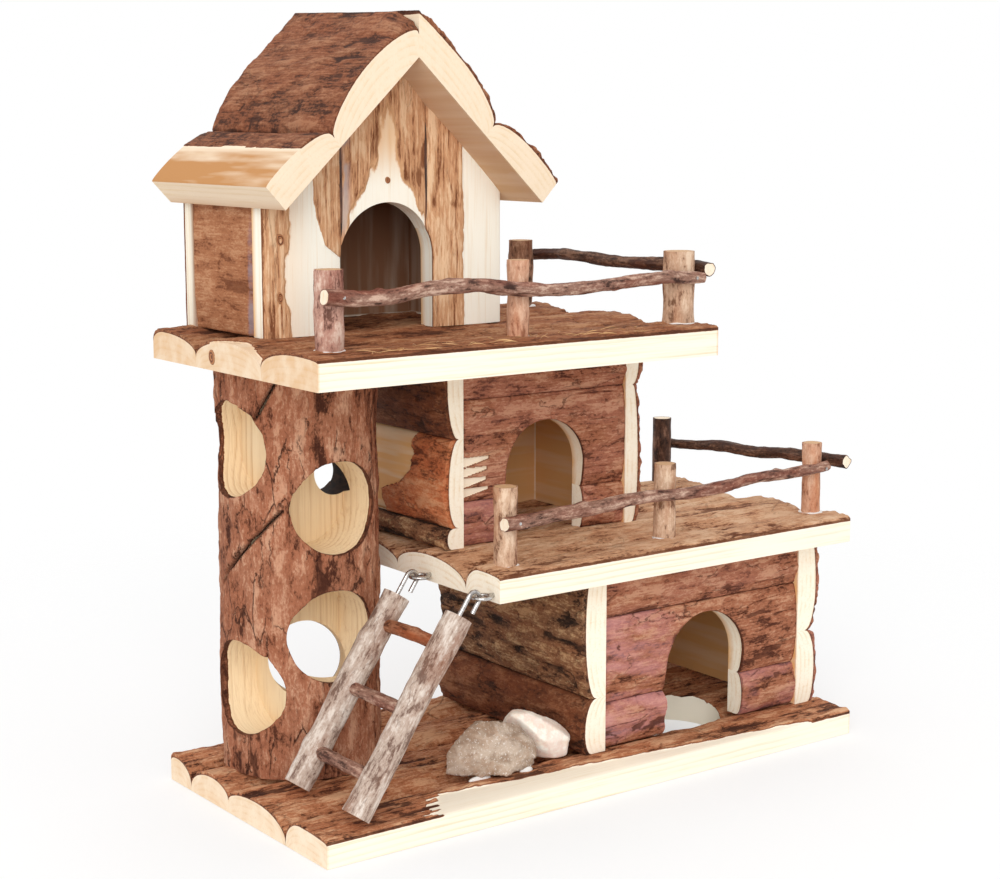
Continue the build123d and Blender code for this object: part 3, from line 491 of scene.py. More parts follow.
height = times(tree, mottle, 1.2, times(tree, fibre, 0.5))
height = times(tree, fleck, 0.8, height)
height = times(tree, crack, -0.8, height)
tree.links.new(colour, result["Color"])
tree.links.new(height, result["Height"])
bark_tones = tree
print("bark tones:", len(tree.nodes), "nodes")

# %% Sawn wood tones
tree, given, result = new_group(
    "sawn tones",
    [("Grain", VECTOR), ("Pale", COLOUR), ("Ring", COLOUR), ("Warm", COLOUR), ("Warmth and shade", VALUE)],
    [("Color", COLOUR), ("Height", VALUE)],
)
grain = given["Grain"]
rings = put(
    tree, "ShaderNodeTexWave",
    {"Vector": grain, "Scale": 0.13, "Distortion": 2.2, "Detail": 2.0, "Detail Scale": 0.2},
    wave_type="BANDS", bands_direction="Z", wave_profile="SAW",
).outputs["Fac"]
fibre = speckle(tree, grain, (0.03, 1.1, 1.1), 5.0, 0.65)
streak = speckle(tree, grain, (0.012, 0.16, 0.16), 3.0, 0.5)
line = times(tree, ease(tree, rings, 0.45, 1.0), ease(tree, streak, 0.35, 0.65))
line = times(tree, line, 0.42)
line = times(tree, ease(tree, fibre, 0.48, 0.78), 0.4, line)
colour = mixed(tree, line, given["Pale"], given["Ring"])
# The warm colour comes in by a share: a real warm tint on bare wood, and painted shade on the inner faces of walls and
# roofs.
warm = times(tree, ease(tree, streak, 0.3, 0.7), 0.3, 0.7)
warm = times(tree, warm, given["Warmth and shade"])
colour = mixed(tree, warm, colour, given["Warm"])
tree.links.new(colour, result["Color"])
tree.links.new(times(tree, fibre, 0.6, rings), result["Height"])
sawn_tones = tree
print("sawn tones:", len(tree.nodes), "nodes")

# %% [markdown]
# A wooden finish mixes the two by the mask that each piece carries: 1 is bark and 0 is bare wood. A little noise
# on the mask makes the border ragged, and the band between the two takes the red-brown of the inner bark.

# %% Wooden finishes
CREAM = paint(255, 247, 229)
RING = paint(229, 200, 152)
TAN = paint(220, 174, 124)
INNER_BARK = paint(150, 88, 54)
# Painted shade: inner faces take the next two colours in place of cream. The first is also a real tan on some bare
# wood.
TAN_AND_SHADE = paint(232, 180, 120)
HOUSE_INSIDE_SHADE = paint(152, 108, 80)
SAWN_BUMP = 0.06


def bark_paint(dark, middle, light, dust, dustiness, blush, cracks=0.0, fibrous=1.0):
    """What the bark tones are given, with its colours written as they are seen."""
    seen = {"Dark": dark, "Middle": middle, "Light": light, "Dust": dust, "Blush": blush}
    shares = {"Dustiness": dustiness, "Cracks": cracks, "Fibrous": fibrous}
    return {name: paint(*tone) for name, tone in seen.items()} | shares


def carried(tree, name):
    """The output of an attribute that the piece carries: a vector for grain, a number for the rest."""
    node = put(tree, "ShaderNodeAttribute", attribute_name=name)
    return node.outputs["Vector" if name == "grain" else "Fac"]


def toned(tree, tones, sockets):
    """The colour and the height that a group of wood tones puts out."""
    return put(tree, "ShaderNodeGroup", sockets, node_tree=tones).outputs


def wooden(name, bark, pale=CREAM, warm=TAN, inner=INNER_BARK, roughness=0.82, bump=0.0007, drawn=1.0):
    """A wooden finish: bark tones and sawn tones mixed by the piece's own mask."""
    finish, tree, shader = new_finish(name, {"Roughness": roughness, "Specular IOR Level": 0.25})
    grain, relief, cover, warmth_and_shade, blush = (carried(tree, k) for k in ("grain", "relief", "bark", "warm", "blush"))
    longer = scaled(tree, grain, (1 / drawn, 1.0, 1.0))
    barked = toned(tree, bark_tones, {**bark, "Grain": longer, "Relief": relief, "Blushing": blush})
    sawn = toned(tree, sawn_tones, {"Grain": grain, "Pale": pale, "Ring": RING, "Warm": warm, "Warmth and shade": warmth_and_shade})
    ragged = times(tree, speckle(tree, grain, (0.3, 0.6, 0.6), 4.0, 0.65), 0.6, -0.3)
    mask = sums(tree, "ADD", cover, ragged)
    under = mixed(tree, ease(tree, mask, 0.22, 0.45), sawn["Color"], inner)
    colour = mixed(tree, ease(tree, mask, 0.5, 0.8), under, barked["Color"])
    height = times(tree, barked["Height"], ease(tree, mask, 0.4, 0.6))
    dress(tree, shader, colour, times(tree, sawn["Height"], SAWN_BUMP, height), 0.8, bump)
    return finish


print("cream wood in linear values:", CREAM)

# %% Slab finishes
DUST, PLUM, RUST = (216, 187, 168), (212, 168, 180), (166, 98, 62)
# The walls' warm colours paint the shade on their inner faces. The roof's also gives its planed eave a real
# orange-brown.
red_bark = wooden("red_bark", bark_paint(
    (88, 46, 30), (172, 112, 86), (208, 160, 134), DUST, 0.5, PLUM, 0.7, 1.5), warm=TAN_AND_SHADE)
rust_bark = wooden("rust_bark", bark_paint(
    (102, 55, 32), (207, 130, 89), (228, 173, 135), DUST, 0.3, RUST, 0.6), warm=TAN_AND_SHADE)
umber_bark = wooden("umber_bark", bark_paint(
    (50, 26, 14), (118, 71, 46), (156, 110, 82), DUST, 0.25, RUST, 0.6), warm=TAN_AND_SHADE)
old_bark = wooden("old_bark", bark_paint(
    (42, 27, 18), (144, 106, 80), (206, 176, 140), (224, 208, 168), 0.85, RUST, 0.6), warm=TAN_AND_SHADE)
deck_bark = wooden("deck_bark", bark_paint(
    (84, 46, 28), (163, 111, 80), (198, 154, 122), DUST, 0.4, RUST, 0.4, 1.8))
pale_deck_bark = wooden("pale_deck_bark", bark_paint(
    (112, 68, 44), (218, 175, 143), (240, 210, 184), DUST, 0.4, RUST, 0.4, 1.8))
red_deck_bark = wooden("red_deck_bark", bark_paint(
    (70, 36, 22), (194, 134, 100), (230, 188, 156), DUST, 0.35, RUST, 0.5, 1.8))
roof_bark = wooden("roof_bark", bark_paint(
    (64, 37, 27), (142, 91, 66), (180, 132, 104), (120, 106, 106), 0.5, RUST, 0.4, 2.0),
    pale=paint(243, 224, 198), warm=paint(192, 138, 86))
smooth_bark = wooden("smooth_bark", bark_paint(
    (128, 77, 48), (217, 168, 131), (248, 216, 184), (240, 214, 186), 0.2, (190, 186, 196), 0.4, 2.2),
    pale=paint(255, 252, 238), warm=TAN_AND_SHADE, inner=paint(216, 166, 122), bump=0.0004, drawn=3.0)
side_bark = wooden("side_bark", bark_paint(
    (124, 72, 44), (178, 120, 86), (206, 156, 122), (218, 184, 156), 0.45, (164, 146, 158), 0.0, 1.4),
    warm=HOUSE_INSIDE_SHADE, bump=0.0004)
print("wooden finishes:", [m.name for m in bpy.data.materials if m.name.endswith("bark")])

# %% [markdown]
# A slab's bark side is two quarter ellipses that meet at the crown, as in the CAD model. Bark relief is added to
# it, and where bark has come off, the surface drops by the bark's thickness. The slab's own frame is read from the
# CAD node's box: `run` points along the log, and `bark_side` away from the sawn face.

# %% Slab helpers
ALONG_STEP = 1.0
ACROSS_STEP = 0.75
EDGE_FADE = 2.5
SEAM = 1.2
# The first share is painted shade: how much of its finish's warm colour an inner wall face takes, less under the roof.
# The second is a real warmth of sawn faces.
INSIDE_SHADE, SAWN_WARMTH = 1.1, 0.1
NO_BARE = -9.0
X, Y, Z = np.eye(3)
seeds = iter(range(100, 9000, 37))


def no_bare(along, across):
    """Bark everywhere."""
    return np.full_like(along, NO_BARE)


# A slab's row: CAD node, direction, bark side, shape (low edge, high edge and crown, as shares), finish, how rough and
# how thick its bark is, where it is bare, how it blushes, how warm its wood is, how soft a bare patch's edge is, and
# how warm its sawn ends are.
Slab = namedtuple("Slab", "node run bark_side shape finish rough rim bare blush warm soft ends",
                  defaults=(1.0, 1.3, no_bare, 0.2, SAWN_WARMTH, 0.1, 0.0))


def node_box(node):
    """A CAD node's lowest and highest corner in millimetres."""
    low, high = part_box(node)
    return np.array(low) / MM, np.array(high) / MM


def share_of(given, along, across):
    """A value over a slab, given either as one number or as a function of the place."""
    return given(along, across) if callable(given) else np.full_like(along, given)


def crown_height(across, along, width, thickness, shape, seed):
    """Height of the bark side over the sawn face: edge + (1 - edge) * sqrt(1 - s*s), s from crown to edge."""
    low, high, crown = shape
    lean = across / width - crown
    reach = np.where(lean > 0, 1 - crown, crown)
    edge = np.where(lean > 0, share_of(high, along, across), share_of(low, along, across))
    edge = edge + np.where(edge < 0.62, 0.06 * noise(at(along / 19, np.sign(lean)), seed + 5), 0)
    return thickness * (edge + (1 - edge) * np.sqrt(np.clip(1 - (lean / reach) ** 2, 0, 1)))


def plain_outline(p, q, size):
    """Straight lines along and across, a little closer together towards the two edges."""
    eased = 0.55 * q + 0.45 * (0.5 - 0.5 * np.cos(np.pi * q))
    return p * size[0], eased * size[1]


print("lattice steps:", ALONG_STEP, "by", ACROSS_STEP, "mm")

# %% [markdown]
# One function then makes any slab. It lays the lattice out, lifts its bark side, places it, and keeps with each
# point what the finish needs to know there: how much bark covers it, how high the bark stands, where it lies in
# the log, how warm or blushing its colour is, and how much painted shade its inner faces take.


# %% Slabs
def slab_mesh(slab, size, place, steps=None, outline=plain_outline):
    """A slab's mesh. place turns (along, across, height, q) in millimetres into points in the CAD model's frame."""
    seed = next(seeds)
    length, width, thickness = size
    rows, columns = steps or (int(np.ceil(length / ALONG_STEP)), int(np.ceil(width / ACROSS_STEP)))
    lattice, quads = block_skin(rows, columns)
    p, q, layer = lattice[:, 0] / rows, lattice[:, 1] / columns, lattice[:, 2]
    along, across = outline(p, q, size)
    log = crown_height(across, along, width, thickness, slab.shape, seed)
    ragged = 0.3 * layers(at(along / 9, across / 4.5), seed + 3, 3)
    peeled = smooth(slab.bare(along, across) + ragged, -slab.soft, slab.soft)
    relief = bark_relief(along + seed, across, 0.0, seed)
    from_edge = np.minimum(q, 1 - q) * width
    inset = smooth(from_edge, 0.0, EDGE_FADE)
    rim = np.minimum(slab.rim, 0.45 * log)
    bumps = slab.rough * relief * (0.2 + 0.8 * inset) * (1 - peeled) * np.clip(log / 3, 0, 1)
    top = np.maximum(log + bumps - 0.9 * rim * peeled, log - rim + 0.1)
    height = np.choose(layer, [0.0 * log, 0.4 * log, log - rim - 0.4, log - rim, top])
    mesh = fill_mesh(slab.node, place(along, across, height, q), quads)
    ends = (p == 0) | (p == 1)
    slope = abs(np.array(slab.bark_side)[2])
    # Inner faces, away from the ends and not on decks, take painted shade.
    inside = (layer == 0) & ~ends & (slope < 0.9)
    keep(mesh, "bark", np.choose(layer, [0.0, 0.0, 0.0, 0.7, 1.0]) * (1 - peeled))
    keep(mesh, "relief", np.clip(0.5 + relief / 1.3, 0, 1) * smooth(from_edge, 0.0, SEAM) * (layer == BARK_LAYER))
    keep(mesh, "grain", at(along + 3 * seed, across + seed, log - height))
    warmth_and_shade = share_of(slab.warm, along, across)
    if callable(slab.warm):
        warmth_and_shade = np.where(layer == BARK_LAYER, warmth_and_shade, SAWN_WARMTH)
    warmth_and_shade = np.where(ends, np.maximum(warmth_and_shade, slab.ends), warmth_and_shade)
    keep(mesh, "warm", np.where(inside, INSIDE_SHADE * (1 - 0.6 * slope), warmth_and_shade))
    keep(mesh, "blush", share_of(slab.blush, along, across))
    return mesh


def boxed_slab(slab, steps=None, outline=plain_outline, reshape=None):
    """A slab that fills its CAD node's box, with an optional last change to its points."""
    low, high = node_box(slab.node)
    run, bark_side = np.array(slab.run), np.array(slab.bark_side)
    sideways = np.cross(bark_side, run)
    corner = np.where(run + sideways + bark_side > 0, low, high)
    size = [abs((high - low) @ axis) for axis in (run, sideways, bark_side)]

    def place(along, across, height, q):
        points = corner + np.outer(along, run) + np.outer(across, sideways) + np.outer(height, bark_side)
        return reshape(points) if reshape else points

    return wood_piece(slab, slab_mesh(slab, size, place, steps, outline))


def wood_piece(slab, mesh):
    """A slab's mesh as a piece that stands for its CAD node."""
    return piece("wood_" + slab.node, mesh, slab.finish, [slab.node])


print("slab helpers ready")

# %% [markdown]
# Most slabs fill their CAD node's box. A row of the table gives a slab's direction, its bark side, the shape of
# its two edges and crown, its finish, and what sets it apart. A patch that bark has left, or a plum bloom, is a
# function of the place on the slab.

# %% Slabs cut square
TORN_Z = [111.0, 114.5, 120.5, 127.7, 129.7, 135.3, 139.7, 142.9]
TORN_IN = [30.0, 18.4, 11.2, 9.7, 12.5, 11.0, 13.0, 15.8]
torn_low, torn_high = node_box("mid_left_wall_middle")


def torn_back(along, across):
    """Bare wood towards the back of the middle course, behind a torn edge."""
    edge = np.interp(across + torn_low[2], TORN_Z, TORN_IN)
    return (torn_high[1] - along - edge) / 1.2


def torn_warmth(along, across):
    """Brown streaks along the bare wood of the middle course."""
    return 1.0 + 0.3 * layers(at(along / 24, across / 1.7), 53, 3)


def chipped_end(along, across):
    """Bark chipped off the crown at the left end."""
    return (6.0 - along - 0.3 * np.abs(across - 17.0)) / 1.5


def plum_left(along, across):
    """A plum bloom that fades to the right."""
    return 0.9 * (1 - smooth(along, 18, 48))


plain_slabs = [
    Slab("base_slat_mid_back", X, Z, (0.52, 0.28, 0.42), red_deck_bark, 1.0, 1.0, warm=0.6),
    Slab("base_slat_back", X, Z, (0.36, 0.84, 0.7), red_deck_bark, 1.1, 1.2, warm=0.6),
    Slab("ground_left_wall_lower", -Y, -X, (0.75, 0.57, 0.4), umber_bark, 1.3, 2.2),
    Slab("ground_left_wall_upper", -Y, -X, (0.57, 0.75, 0.55), old_bark, 1.7, 2.2),
    Slab("ground_right_wall_lower", Y, X, (0.75, 0.48, 0.5), red_bark, 1.2, 1.6),
    Slab("ground_right_wall_upper", Y, X, (0.48, 0.7, 0.45), red_bark, 1.2, 1.6),
    Slab("ground_front_lower_left", X, -Y, (0.7, 0.66, 0.5), red_bark, 1.0, 1.2, blush=0.95),
    Slab("ground_front_lower_right", X, -Y, (0.7, 0.66, 0.5), red_bark, 1.1, 1.2, blush=0.6),
    Slab("ground_front_upper", X, -Y, (0.72, 0.78, 0.5), red_bark, 1.2, 1.2, blush=0.1),
    Slab("ground_back_wall", -X, Y, (0.62, 0.62, 0.5), red_bark, 1.2, 1.2),
    Slab("mid_deck_front", X, Z, (0.87, 0.3, 0.6), pale_deck_bark, 0.7, 0.8),
    Slab("mid_deck_middle", X, Z, (0.24, 0.36, 0.55), pale_deck_bark, 0.8, 0.9),
    Slab("mid_deck_back", X, Z, (0.36, 0.62, 0.8), pale_deck_bark, 1.0, 1.0),
    Slab("mid_left_wall_lower", -Y, -X, (0.82, 0.72, 0.5), old_bark, 1.5, 1.6),
    Slab("mid_left_wall_middle", -Y, -X, (0.56, 0.44, 0.42), rust_bark, 1.1, 2.2, torn_back, 0.4, torn_warmth),
    Slab("mid_left_wall_upper", -Y, -X, (0.44, 0.9, 0.7), umber_bark, 1.2, 1.8),
    Slab("mid_right_wall_lower", Y, X, (0.64, 0.6, 0.4), red_bark, 1.2, 1.6),
    Slab("mid_right_wall_upper", Y, X, (0.6, 0.8, 0.6), red_bark, 1.2, 1.6),
    Slab("mid_front_lower_left", X, -Y, (0.72, 0.7, 0.5), red_bark, 1.1, 1.2, blush=0.5),
    Slab("mid_front_lower_right", X, -Y, (0.72, 0.7, 0.5), red_bark, 1.0, 1.2, blush=0.2),
    Slab("mid_front_upper", X, -Y, (0.76, 0.82, 0.5), red_bark, 1.1, 1.2, blush=0.1),
    Slab("mid_back_wall", -X, Y, (0.62, 0.62, 0.5), red_bark, 1.2, 1.2),
    Slab("top_deck_front", X, Z, (0.9, 0.42, 0.39), deck_bark, 0.8, 0.8, ends=0.8),
    Slab("top_deck_middle", X, Z, (0.4, 0.4, 0.5), deck_bark, 0.9, 1.0, chipped_end, warm=0.7),
    Slab("top_deck_back", X, Z, (0.42, 0.66, 0.75), deck_bark, 1.0, 1.0, warm=0.8),
]
for slab in plain_slabs:
    boxed_slab(slab)
print("slabs cut square:", len(plain_slabs))

# %% [markdown]
# The base has a round hole behind the ground doorway, cut through two slats. A Boolean modifier does what the
# maker's hole saw does, and its result is kept as the mesh. New points on the cut have a bark mask of zero, which
# is bare wood.

# %% Base slats with the floor hole
FLOOR_HOLE = (62.1, -15.5)
FLOOR_HOLE_RADIUS = 23.5
JOINT_AT = 38.0
FINGER_PITCH, FINGER_LENGTH = 3.6, 11


def rod_cutter(start, direction, radius, length, sides=96):
    """A closed cylinder used only to cut: rings of radius round a line, with a centre point at each end."""
    direction = np.array(direction, float)
    direction /= np.linalg.norm(direction)
    side = np.cross(direction, Z if abs(direction[2]) < 0.9 else X)
    side /= np.linalg.norm(side)
    turn = np.linspace(0, 2 * np.pi, sides, endpoint=False)
    ring = radius * (np.outer(np.cos(turn), side) + np.outer(np.sin(turn), np.cross(direction, side)))
    ends = [np.array(start), np.array(start) + length * direction]
    points = np.concatenate([ring + ends[0], ring + ends[1], ends])
    here = np.arange(sides)
    after = np.roll(here, -1)
    walls = np.stack([here, after, after + sides, here + sides], axis=1)
    faces = [*walls.tolist(), *np.stack([after, here, np.full(sides, 2 * sides)], axis=1).tolist()]
    faces += np.stack([here + sides, after + sides, np.full(sides, 2 * sides + 1)], axis=1).tolist()
    mesh = bpy.data.meshes.new("cutter")
    mesh.from_pydata((points * MM).tolist(), [], faces)
    cutter = bpy.data.objects.new("cutter", mesh)
    scene.collection.objects.link(cutter)
    return cutter


def bore(target, cutters):
    """Takes closed shapes out of a piece and keeps the result as its mesh."""
    for cutter in cutters:
        cut = target.modifiers.new("bore", "BOOLEAN")
        cut.operation = "DIFFERENCE"
        cut.solver = "EXACT"
        cut.material_mode = "TRANSFER"
        cut.object = cutter
    whole = target.data
    target.data = bpy.data.meshes.new_from_object(target.evaluated_get(bpy.context.evaluated_depsgraph_get()))
    target.data.name = whole.name
    target.modifiers.clear()
    bpy.data.meshes.remove(whole)
    for cutter in cutters:
        bpy.data.meshes.remove(cutter.data)


def jointed_front(along, across):
    """The front slat's right length is bare on top: past a row of fingers, and less so further right."""
    fingers = np.abs((across / FINGER_PITCH) % 1.0 - 0.5) * 2
    past_joint = (along - JOINT_AT - FINGER_LENGTH * fingers - 0.7 * across) / 1.2
    bare_width = 17 - 0.085 * (along - JOINT_AT)
    return np.minimum(np.clip(past_joint, -1, 1), (bare_width - across) / 1.6)


base_slats = [
    Slab("base_slat_front", X, Z, (0.86, 0.24, 0.64), red_deck_bark, 0.8, 0.8, jointed_front, 0.2, 0.1, 0.3, 0.5),
    Slab("base_slat_mid_front", X, Z, (0.2, 0.52, 0.5), red_deck_bark, 1.2, 1.0, warm=0.55),
]
for slab in base_slats:
    slat = boxed_slab(slab)
    bore(slat, [rod_cutter((*FLOOR_HOLE, -5.0), Z, FLOOR_HOLE_RADIUS, 25.0)])
    print(slat.name, len(slat.data.polygons), "faces")

# %% [markdown]
# The middle slab of each cabin front is cut by the doorway's arch. A lattice can follow that shape directly: one
# direction runs along the arch from the left foot to the right foot, and the other from the arch out to the
# slab's rim, as straight rulings.

# %% Slabs with an arched doorway
Door = namedtuple("Door", "centre width spring")
ARCH_STEPS = (330, 46)
SPRING_SHARE, CORNER_SHARE = 0.12, 0.3
FINGER_COUNT = 4
FINGER_TOP, FINGER_RISE = 127.5, 4.05
FINGER_ROOT_X, FINGER_TIP_X = -36.9, -26.2
FINGER_ROOT, FINGER_TIP = 3.7, 1.3
ARCH_X, _, ARCH_Z = node_box("mid_front_middle")[0]


def matched(points, stations, p):
    """Points of a polyline at shares p, when its corners are met at the stated shares."""
    return [np.interp(p, stations, [point[k] for point in points]) for k in (0, 1)]


def arched_outline(low, door):
    """Rulings from an arch, given in the slab's own millimetres, to the slab's left side, top and right side."""
    def outline(p, q, size):
        length, width, _ = size
        half = door.width / 2
        centre, spring = door.centre - low[0], door.spring - low[2]
        turn = np.pi * (1 - np.clip((p - SPRING_SHARE) / (1 - 2 * SPRING_SHARE), 0, 1))
        leg = np.interp(p, [0.0, SPRING_SHARE, 1 - SPRING_SHARE, 1.0], [0.0, spring, spring, 0.0])
        inner = [centre + half * np.cos(turn), leg + half * np.sin(turn)]
        rim = [(0, 0), (0, spring), (0, width), (length, width), (length, spring), (length, 0)]
        stations = [0.0, SPRING_SHARE, CORNER_SHARE, 1 - CORNER_SHARE, 1 - SPRING_SHARE, 1.0]
        outer = matched(rim, stations, p)
        return [a + q * (b - a) for a, b in zip(inner, outer)]
    return outline


def fingers_left(along, across):
    """Four bare fingers of a joint at the left end: level above, sloping up to a blunt tip below."""
    x, below = along + ARCH_X, FINGER_TOP - across - ARCH_Z
    finger = np.floor(below / FINGER_RISE)
    share = (x - FINGER_ROOT_X) / (FINGER_TIP_X - FINGER_ROOT_X)
    thick = FINGER_ROOT + share * (FINGER_TIP - FINGER_ROOT)
    depth = below - finger * FINGER_RISE
    inside = np.minimum(np.minimum(thick - depth, depth), FINGER_TIP_X + 0.8 * np.sin(5 * finger) - x)
    return np.where((finger >= 0) & (finger < FINGER_COUNT), inside / 0.3, -1.0)


arched_slabs = [
    (Slab("ground_front_middle", X, -Y, (0.66, 0.72, 0.5), red_bark, 1.1, 1.2, blush=plum_left),
     Door(62.1, 42.0, 37.5)),
    (Slab("mid_front_middle", X, -Y, (0.7, 0.76, 0.5), red_bark, 1.0, 0.9, fingers_left, 0.1, 0.25),
     Door(1.55, 38.5, 119.45)),
]
for slab, door in arched_slabs:
    arch = boxed_slab(slab, ARCH_STEPS, arched_outline(node_box(slab.node)[0], door))
    print(arch.name, len(arch.data.polygons), "faces")

# %% [markdown]
# The top house stands upright slabs side by side. Their tops are cut along the roof and the middle ones along the
# arch of the doorway. Here each column of the lattice simply starts and ends where the roof and the arch say.

# %% Roof line and doorway
RIDGE_X, APEX_Z, TOP_FLOOR = -64.0, 275.2, 176.7
PITCH = np.radians(43.5)
HOUSE_DOOR = Door(-64.0, 40.0, 203.7)


def roof_under(x):
    """Height of the roof's underside over a place along X."""
    return APEX_Z - np.abs(x - RIDGE_X) * np.tan(PITCH)


def arch_over(x):
    """Height of the doorway's arch over a place along X, or the floor beside it."""
    half = HOUSE_DOOR.width / 2
    inside = half**2 - (x - HOUSE_DOOR.centre) ** 2
    return np.where(inside > 0, HOUSE_DOOR.spring + np.sqrt(np.clip(inside, 0, None)), TOP_FLOOR)


def upright_outline(left, door_side):
    """Columns from the roof down to the arch or the floor, the door-side edge drawn back beside the doorway."""
    def outline(p, q, size):
        along, across = plain_outline(p, q, size)
        x = left + across
        if door_side == "over":
            start = APEX_Z - roof_under(x)
            return start + p * (APEX_Z - arch_over(x) - start), across
        z = roof_under(x) - p * (roof_under(x) - TOP_FLOOR)
        half = HOUSE_DOOR.width / 2
        rise = np.clip(z - HOUSE_DOOR.spring, 0, half)
        jamb = half * np.sqrt(1 - (rise / half) ** 2)
        if door_side == "right":
            across = across * np.minimum(size[1], HOUSE_DOOR.centre - jamb - left) / size[1]
        if door_side == "left":
            notch = np.maximum(0, HOUSE_DOOR.centre + jamb - left)
            across = notch + across * (1 - notch / size[1])
        return APEX_Z - z, across
    return outline


print("roof line at the door:", roof_under(HOUSE_DOOR.centre), "mm")

# %% [markdown]
# Much of the house front is bare. Each slab has its own pale patch with a torn edge, grey blooms along two seams,
# and warmer wood where bark has only just come off.

# %% Bare places on the house
SIDE_LENGTH = 44.2


def left_front_bare(along, across):
    """A pale band, soft towards the barked left edge, and crisp against a tongue of bark that ends over the arch."""
    z = APEX_Z - along
    left_edge = np.interp(z, [178, 201, 215, 227, 240], [8.6, 7.6, 8.6, 10.6, 13.5])
    right_edge = np.interp(z, [200, 205, 209, 220, 233, 245], [41.5, 31.3, 24.6, 21.1, 19.6, 19.0])
    return np.minimum((across - left_edge - 1) / 5, (right_edge - across) / 1.6)


def centre_front_bare(along, across):
    """A pale wedge over the arch, narrowing upwards."""
    z = APEX_Z - along
    heights = [205, 219, 224, 233, 240.5, 248, 254, 266]
    half = np.interp(z, heights, [18.5, 16.5, 13.5, 7.0, 4.6, 3.4, 2.6, -2.0])
    streaks = 0.4 * layers(at(along / 40, across / 1.8), 61, 3)
    return (half - np.abs(across - 19.5)) / 3 + streaks


def centre_warmth(along, across):
    """The pale wedge turns tan towards its tip."""
    return 0.05 + 0.85 * smooth(APEX_Z - along, 228, 248)


def right_front_bare(along, across):
    """Bark on the door's side, and pale wood beyond it."""
    return (across - 14.8 - 0.016 * along) / 1.5


def grey_seam(along, across):
    """A grey bloom along the slab's left seam, strongest under the roof."""
    patchy = smooth(layers(at(along / 7, across / 2.5), 83, 2), -0.5, 0.2)
    return 1.3 * patchy * (1 - smooth(across, 1.8, 4.2)) * smooth(along, 22, 30) * (1 - smooth(along, 58, 66))


def grey_front_edge(along, across):
    """A lilac-grey strip along the front edge of the left wall, wider at its foot."""
    wide = np.interp(across, [0, 8, 20, 38, 56], [5.2, 4.2, 3.4, 3.0, 2.2])
    return 1.6 * smooth(along - (SIDE_LENGTH - wide), -0.5, 0.5)


def warm_band(along, across):
    """Warmer wood towards the barked left edge of the pale band."""
    return 0.35 * (1 - smooth(across, 10, 21))


bare_patches = (left_front_bare, centre_front_bare, right_front_bare)
print("bare patches:", [patch.__name__ for patch in bare_patches])

# %% Top house walls
house_front = [
    (Slab("house_front_left", -Z, -Y, (0.8, 0.78, 0.5), smooth_bark, 0.5, 0.5,
          left_front_bare, 0.0, warm_band, 0.45), "right"),
    (Slab("house_front_centre", -Z, -Y, (0.78, 0.8, 0.5), smooth_bark, 0.55, 0.5,
          centre_front_bare, grey_seam, centre_warmth, 1.0), "over"),
    (Slab("house_front_right", -Z, -Y, (0.8, 0.8, 0.5), smooth_bark, 0.5, 0.5,
          right_front_bare, 0.0, 0.05, 0.3), "left"),
]
for slab, door_side in house_front:
    low, high = node_box(slab.node)
    corner = np.array([low[0], high[1], APEX_Z])
    size = [APEX_Z - TOP_FLOOR, high[0] - low[0], high[1] - low[1]]

    def place(along, across, height, q):
        return corner + np.outer(along, -Z) + np.outer(across, X) + np.outer(height, -Y)

    wood_piece(slab, slab_mesh(slab, size, place, None, upright_outline(low[0], door_side)))


def under_roof(points):
    """Scales heights over the floor so that the top edge lies in the roof's underside."""
    highest = points[:, 2].max()
    share = (roof_under(points[:, 0]) - TOP_FLOOR) / (highest - TOP_FLOOR)
    points[:, 2] = TOP_FLOOR + (points[:, 2] - TOP_FLOOR) * share
    return points


house_sides = [
    Slab("house_left_wall", -Y, -X, (0.85, 0.85, 0.5), side_bark, 0.3, 0.5, blush=grey_front_edge),
    Slab("house_right_wall", Z, X, (0.85, 0.85, 0.5), side_bark, 0.7, 0.8),
    Slab("house_back_wall", Z, Y, (0.85, 0.85, 0.5), side_bark, 0.9, 0.8),
]
for slab in house_sides:
    boxed_slab(slab, reshape=under_roof)
print("top house walls:", len(house_front) + len(house_sides))

# %% [markdown]
# Here and there a cut branch shows as a knot: a small brown eye with rings of its own. Each is a shallow disc set
# on the wood, with its rim sunk below the surface, so that no edge stands up. The same disc, drawn out long and
# dark, fills the two gaps between the slabs of the house front as painted shade.

# %% Knots
Knot = namedtuple("Knot", "place facing up radii")
KNOT_RINGS, KNOT_SIDES, KNOT_SINK = 14, 40, 1.8
SEAM_HALF_WIDTH, SEAM_DEPTH = 0.75, 0.19
branch_knots = [
    Knot((-109.6, -2.5, 211.5), -Y, Z, (1.9, 2.9)),
    Knot((-110.0, -2.5, 191.1), -Y, Z, (1.3, 2.7)),
    Knot((-109.5, -2.4, 184.5), -Y, Z, (0.45, 7.0)),
    Knot((-64.2, -2.75, 231.7), -Y, Z, (1.2, 1.5)),
    Knot((-129.25, 13.1, 169.9), -X, Z, (2.4, 3.4)),
]
knot_wood, tree, shader = new_finish("knot_wood", {"Roughness": 0.7})
round_share = times(tree, speckle(tree, object_place(tree), (900.0,) * 3), 0.3, carried(tree, "share"))
ringed = sums(tree, "SINE", times(tree, round_share, 17.0))
colour = mixed(tree, ease(tree, ringed, -0.6, 0.8), paint(104, 58, 32), paint(180, 118, 74))
dress(tree, shader, mixed(tree, ease(tree, round_share, 0.85, 1.15), colour, paint(214, 170, 124)))
# Painted shade for the gaps between the house front's slabs.
seam_shade, tree, shader = new_finish("seam_shade")
dim = speckle(tree, object_place(tree), (300.0, 300.0, 90.0))
dress(tree, shader, mixed(tree, ease(tree, dim, 0.4, 0.65), paint(44, 26, 16), paint(104, 64, 42)))


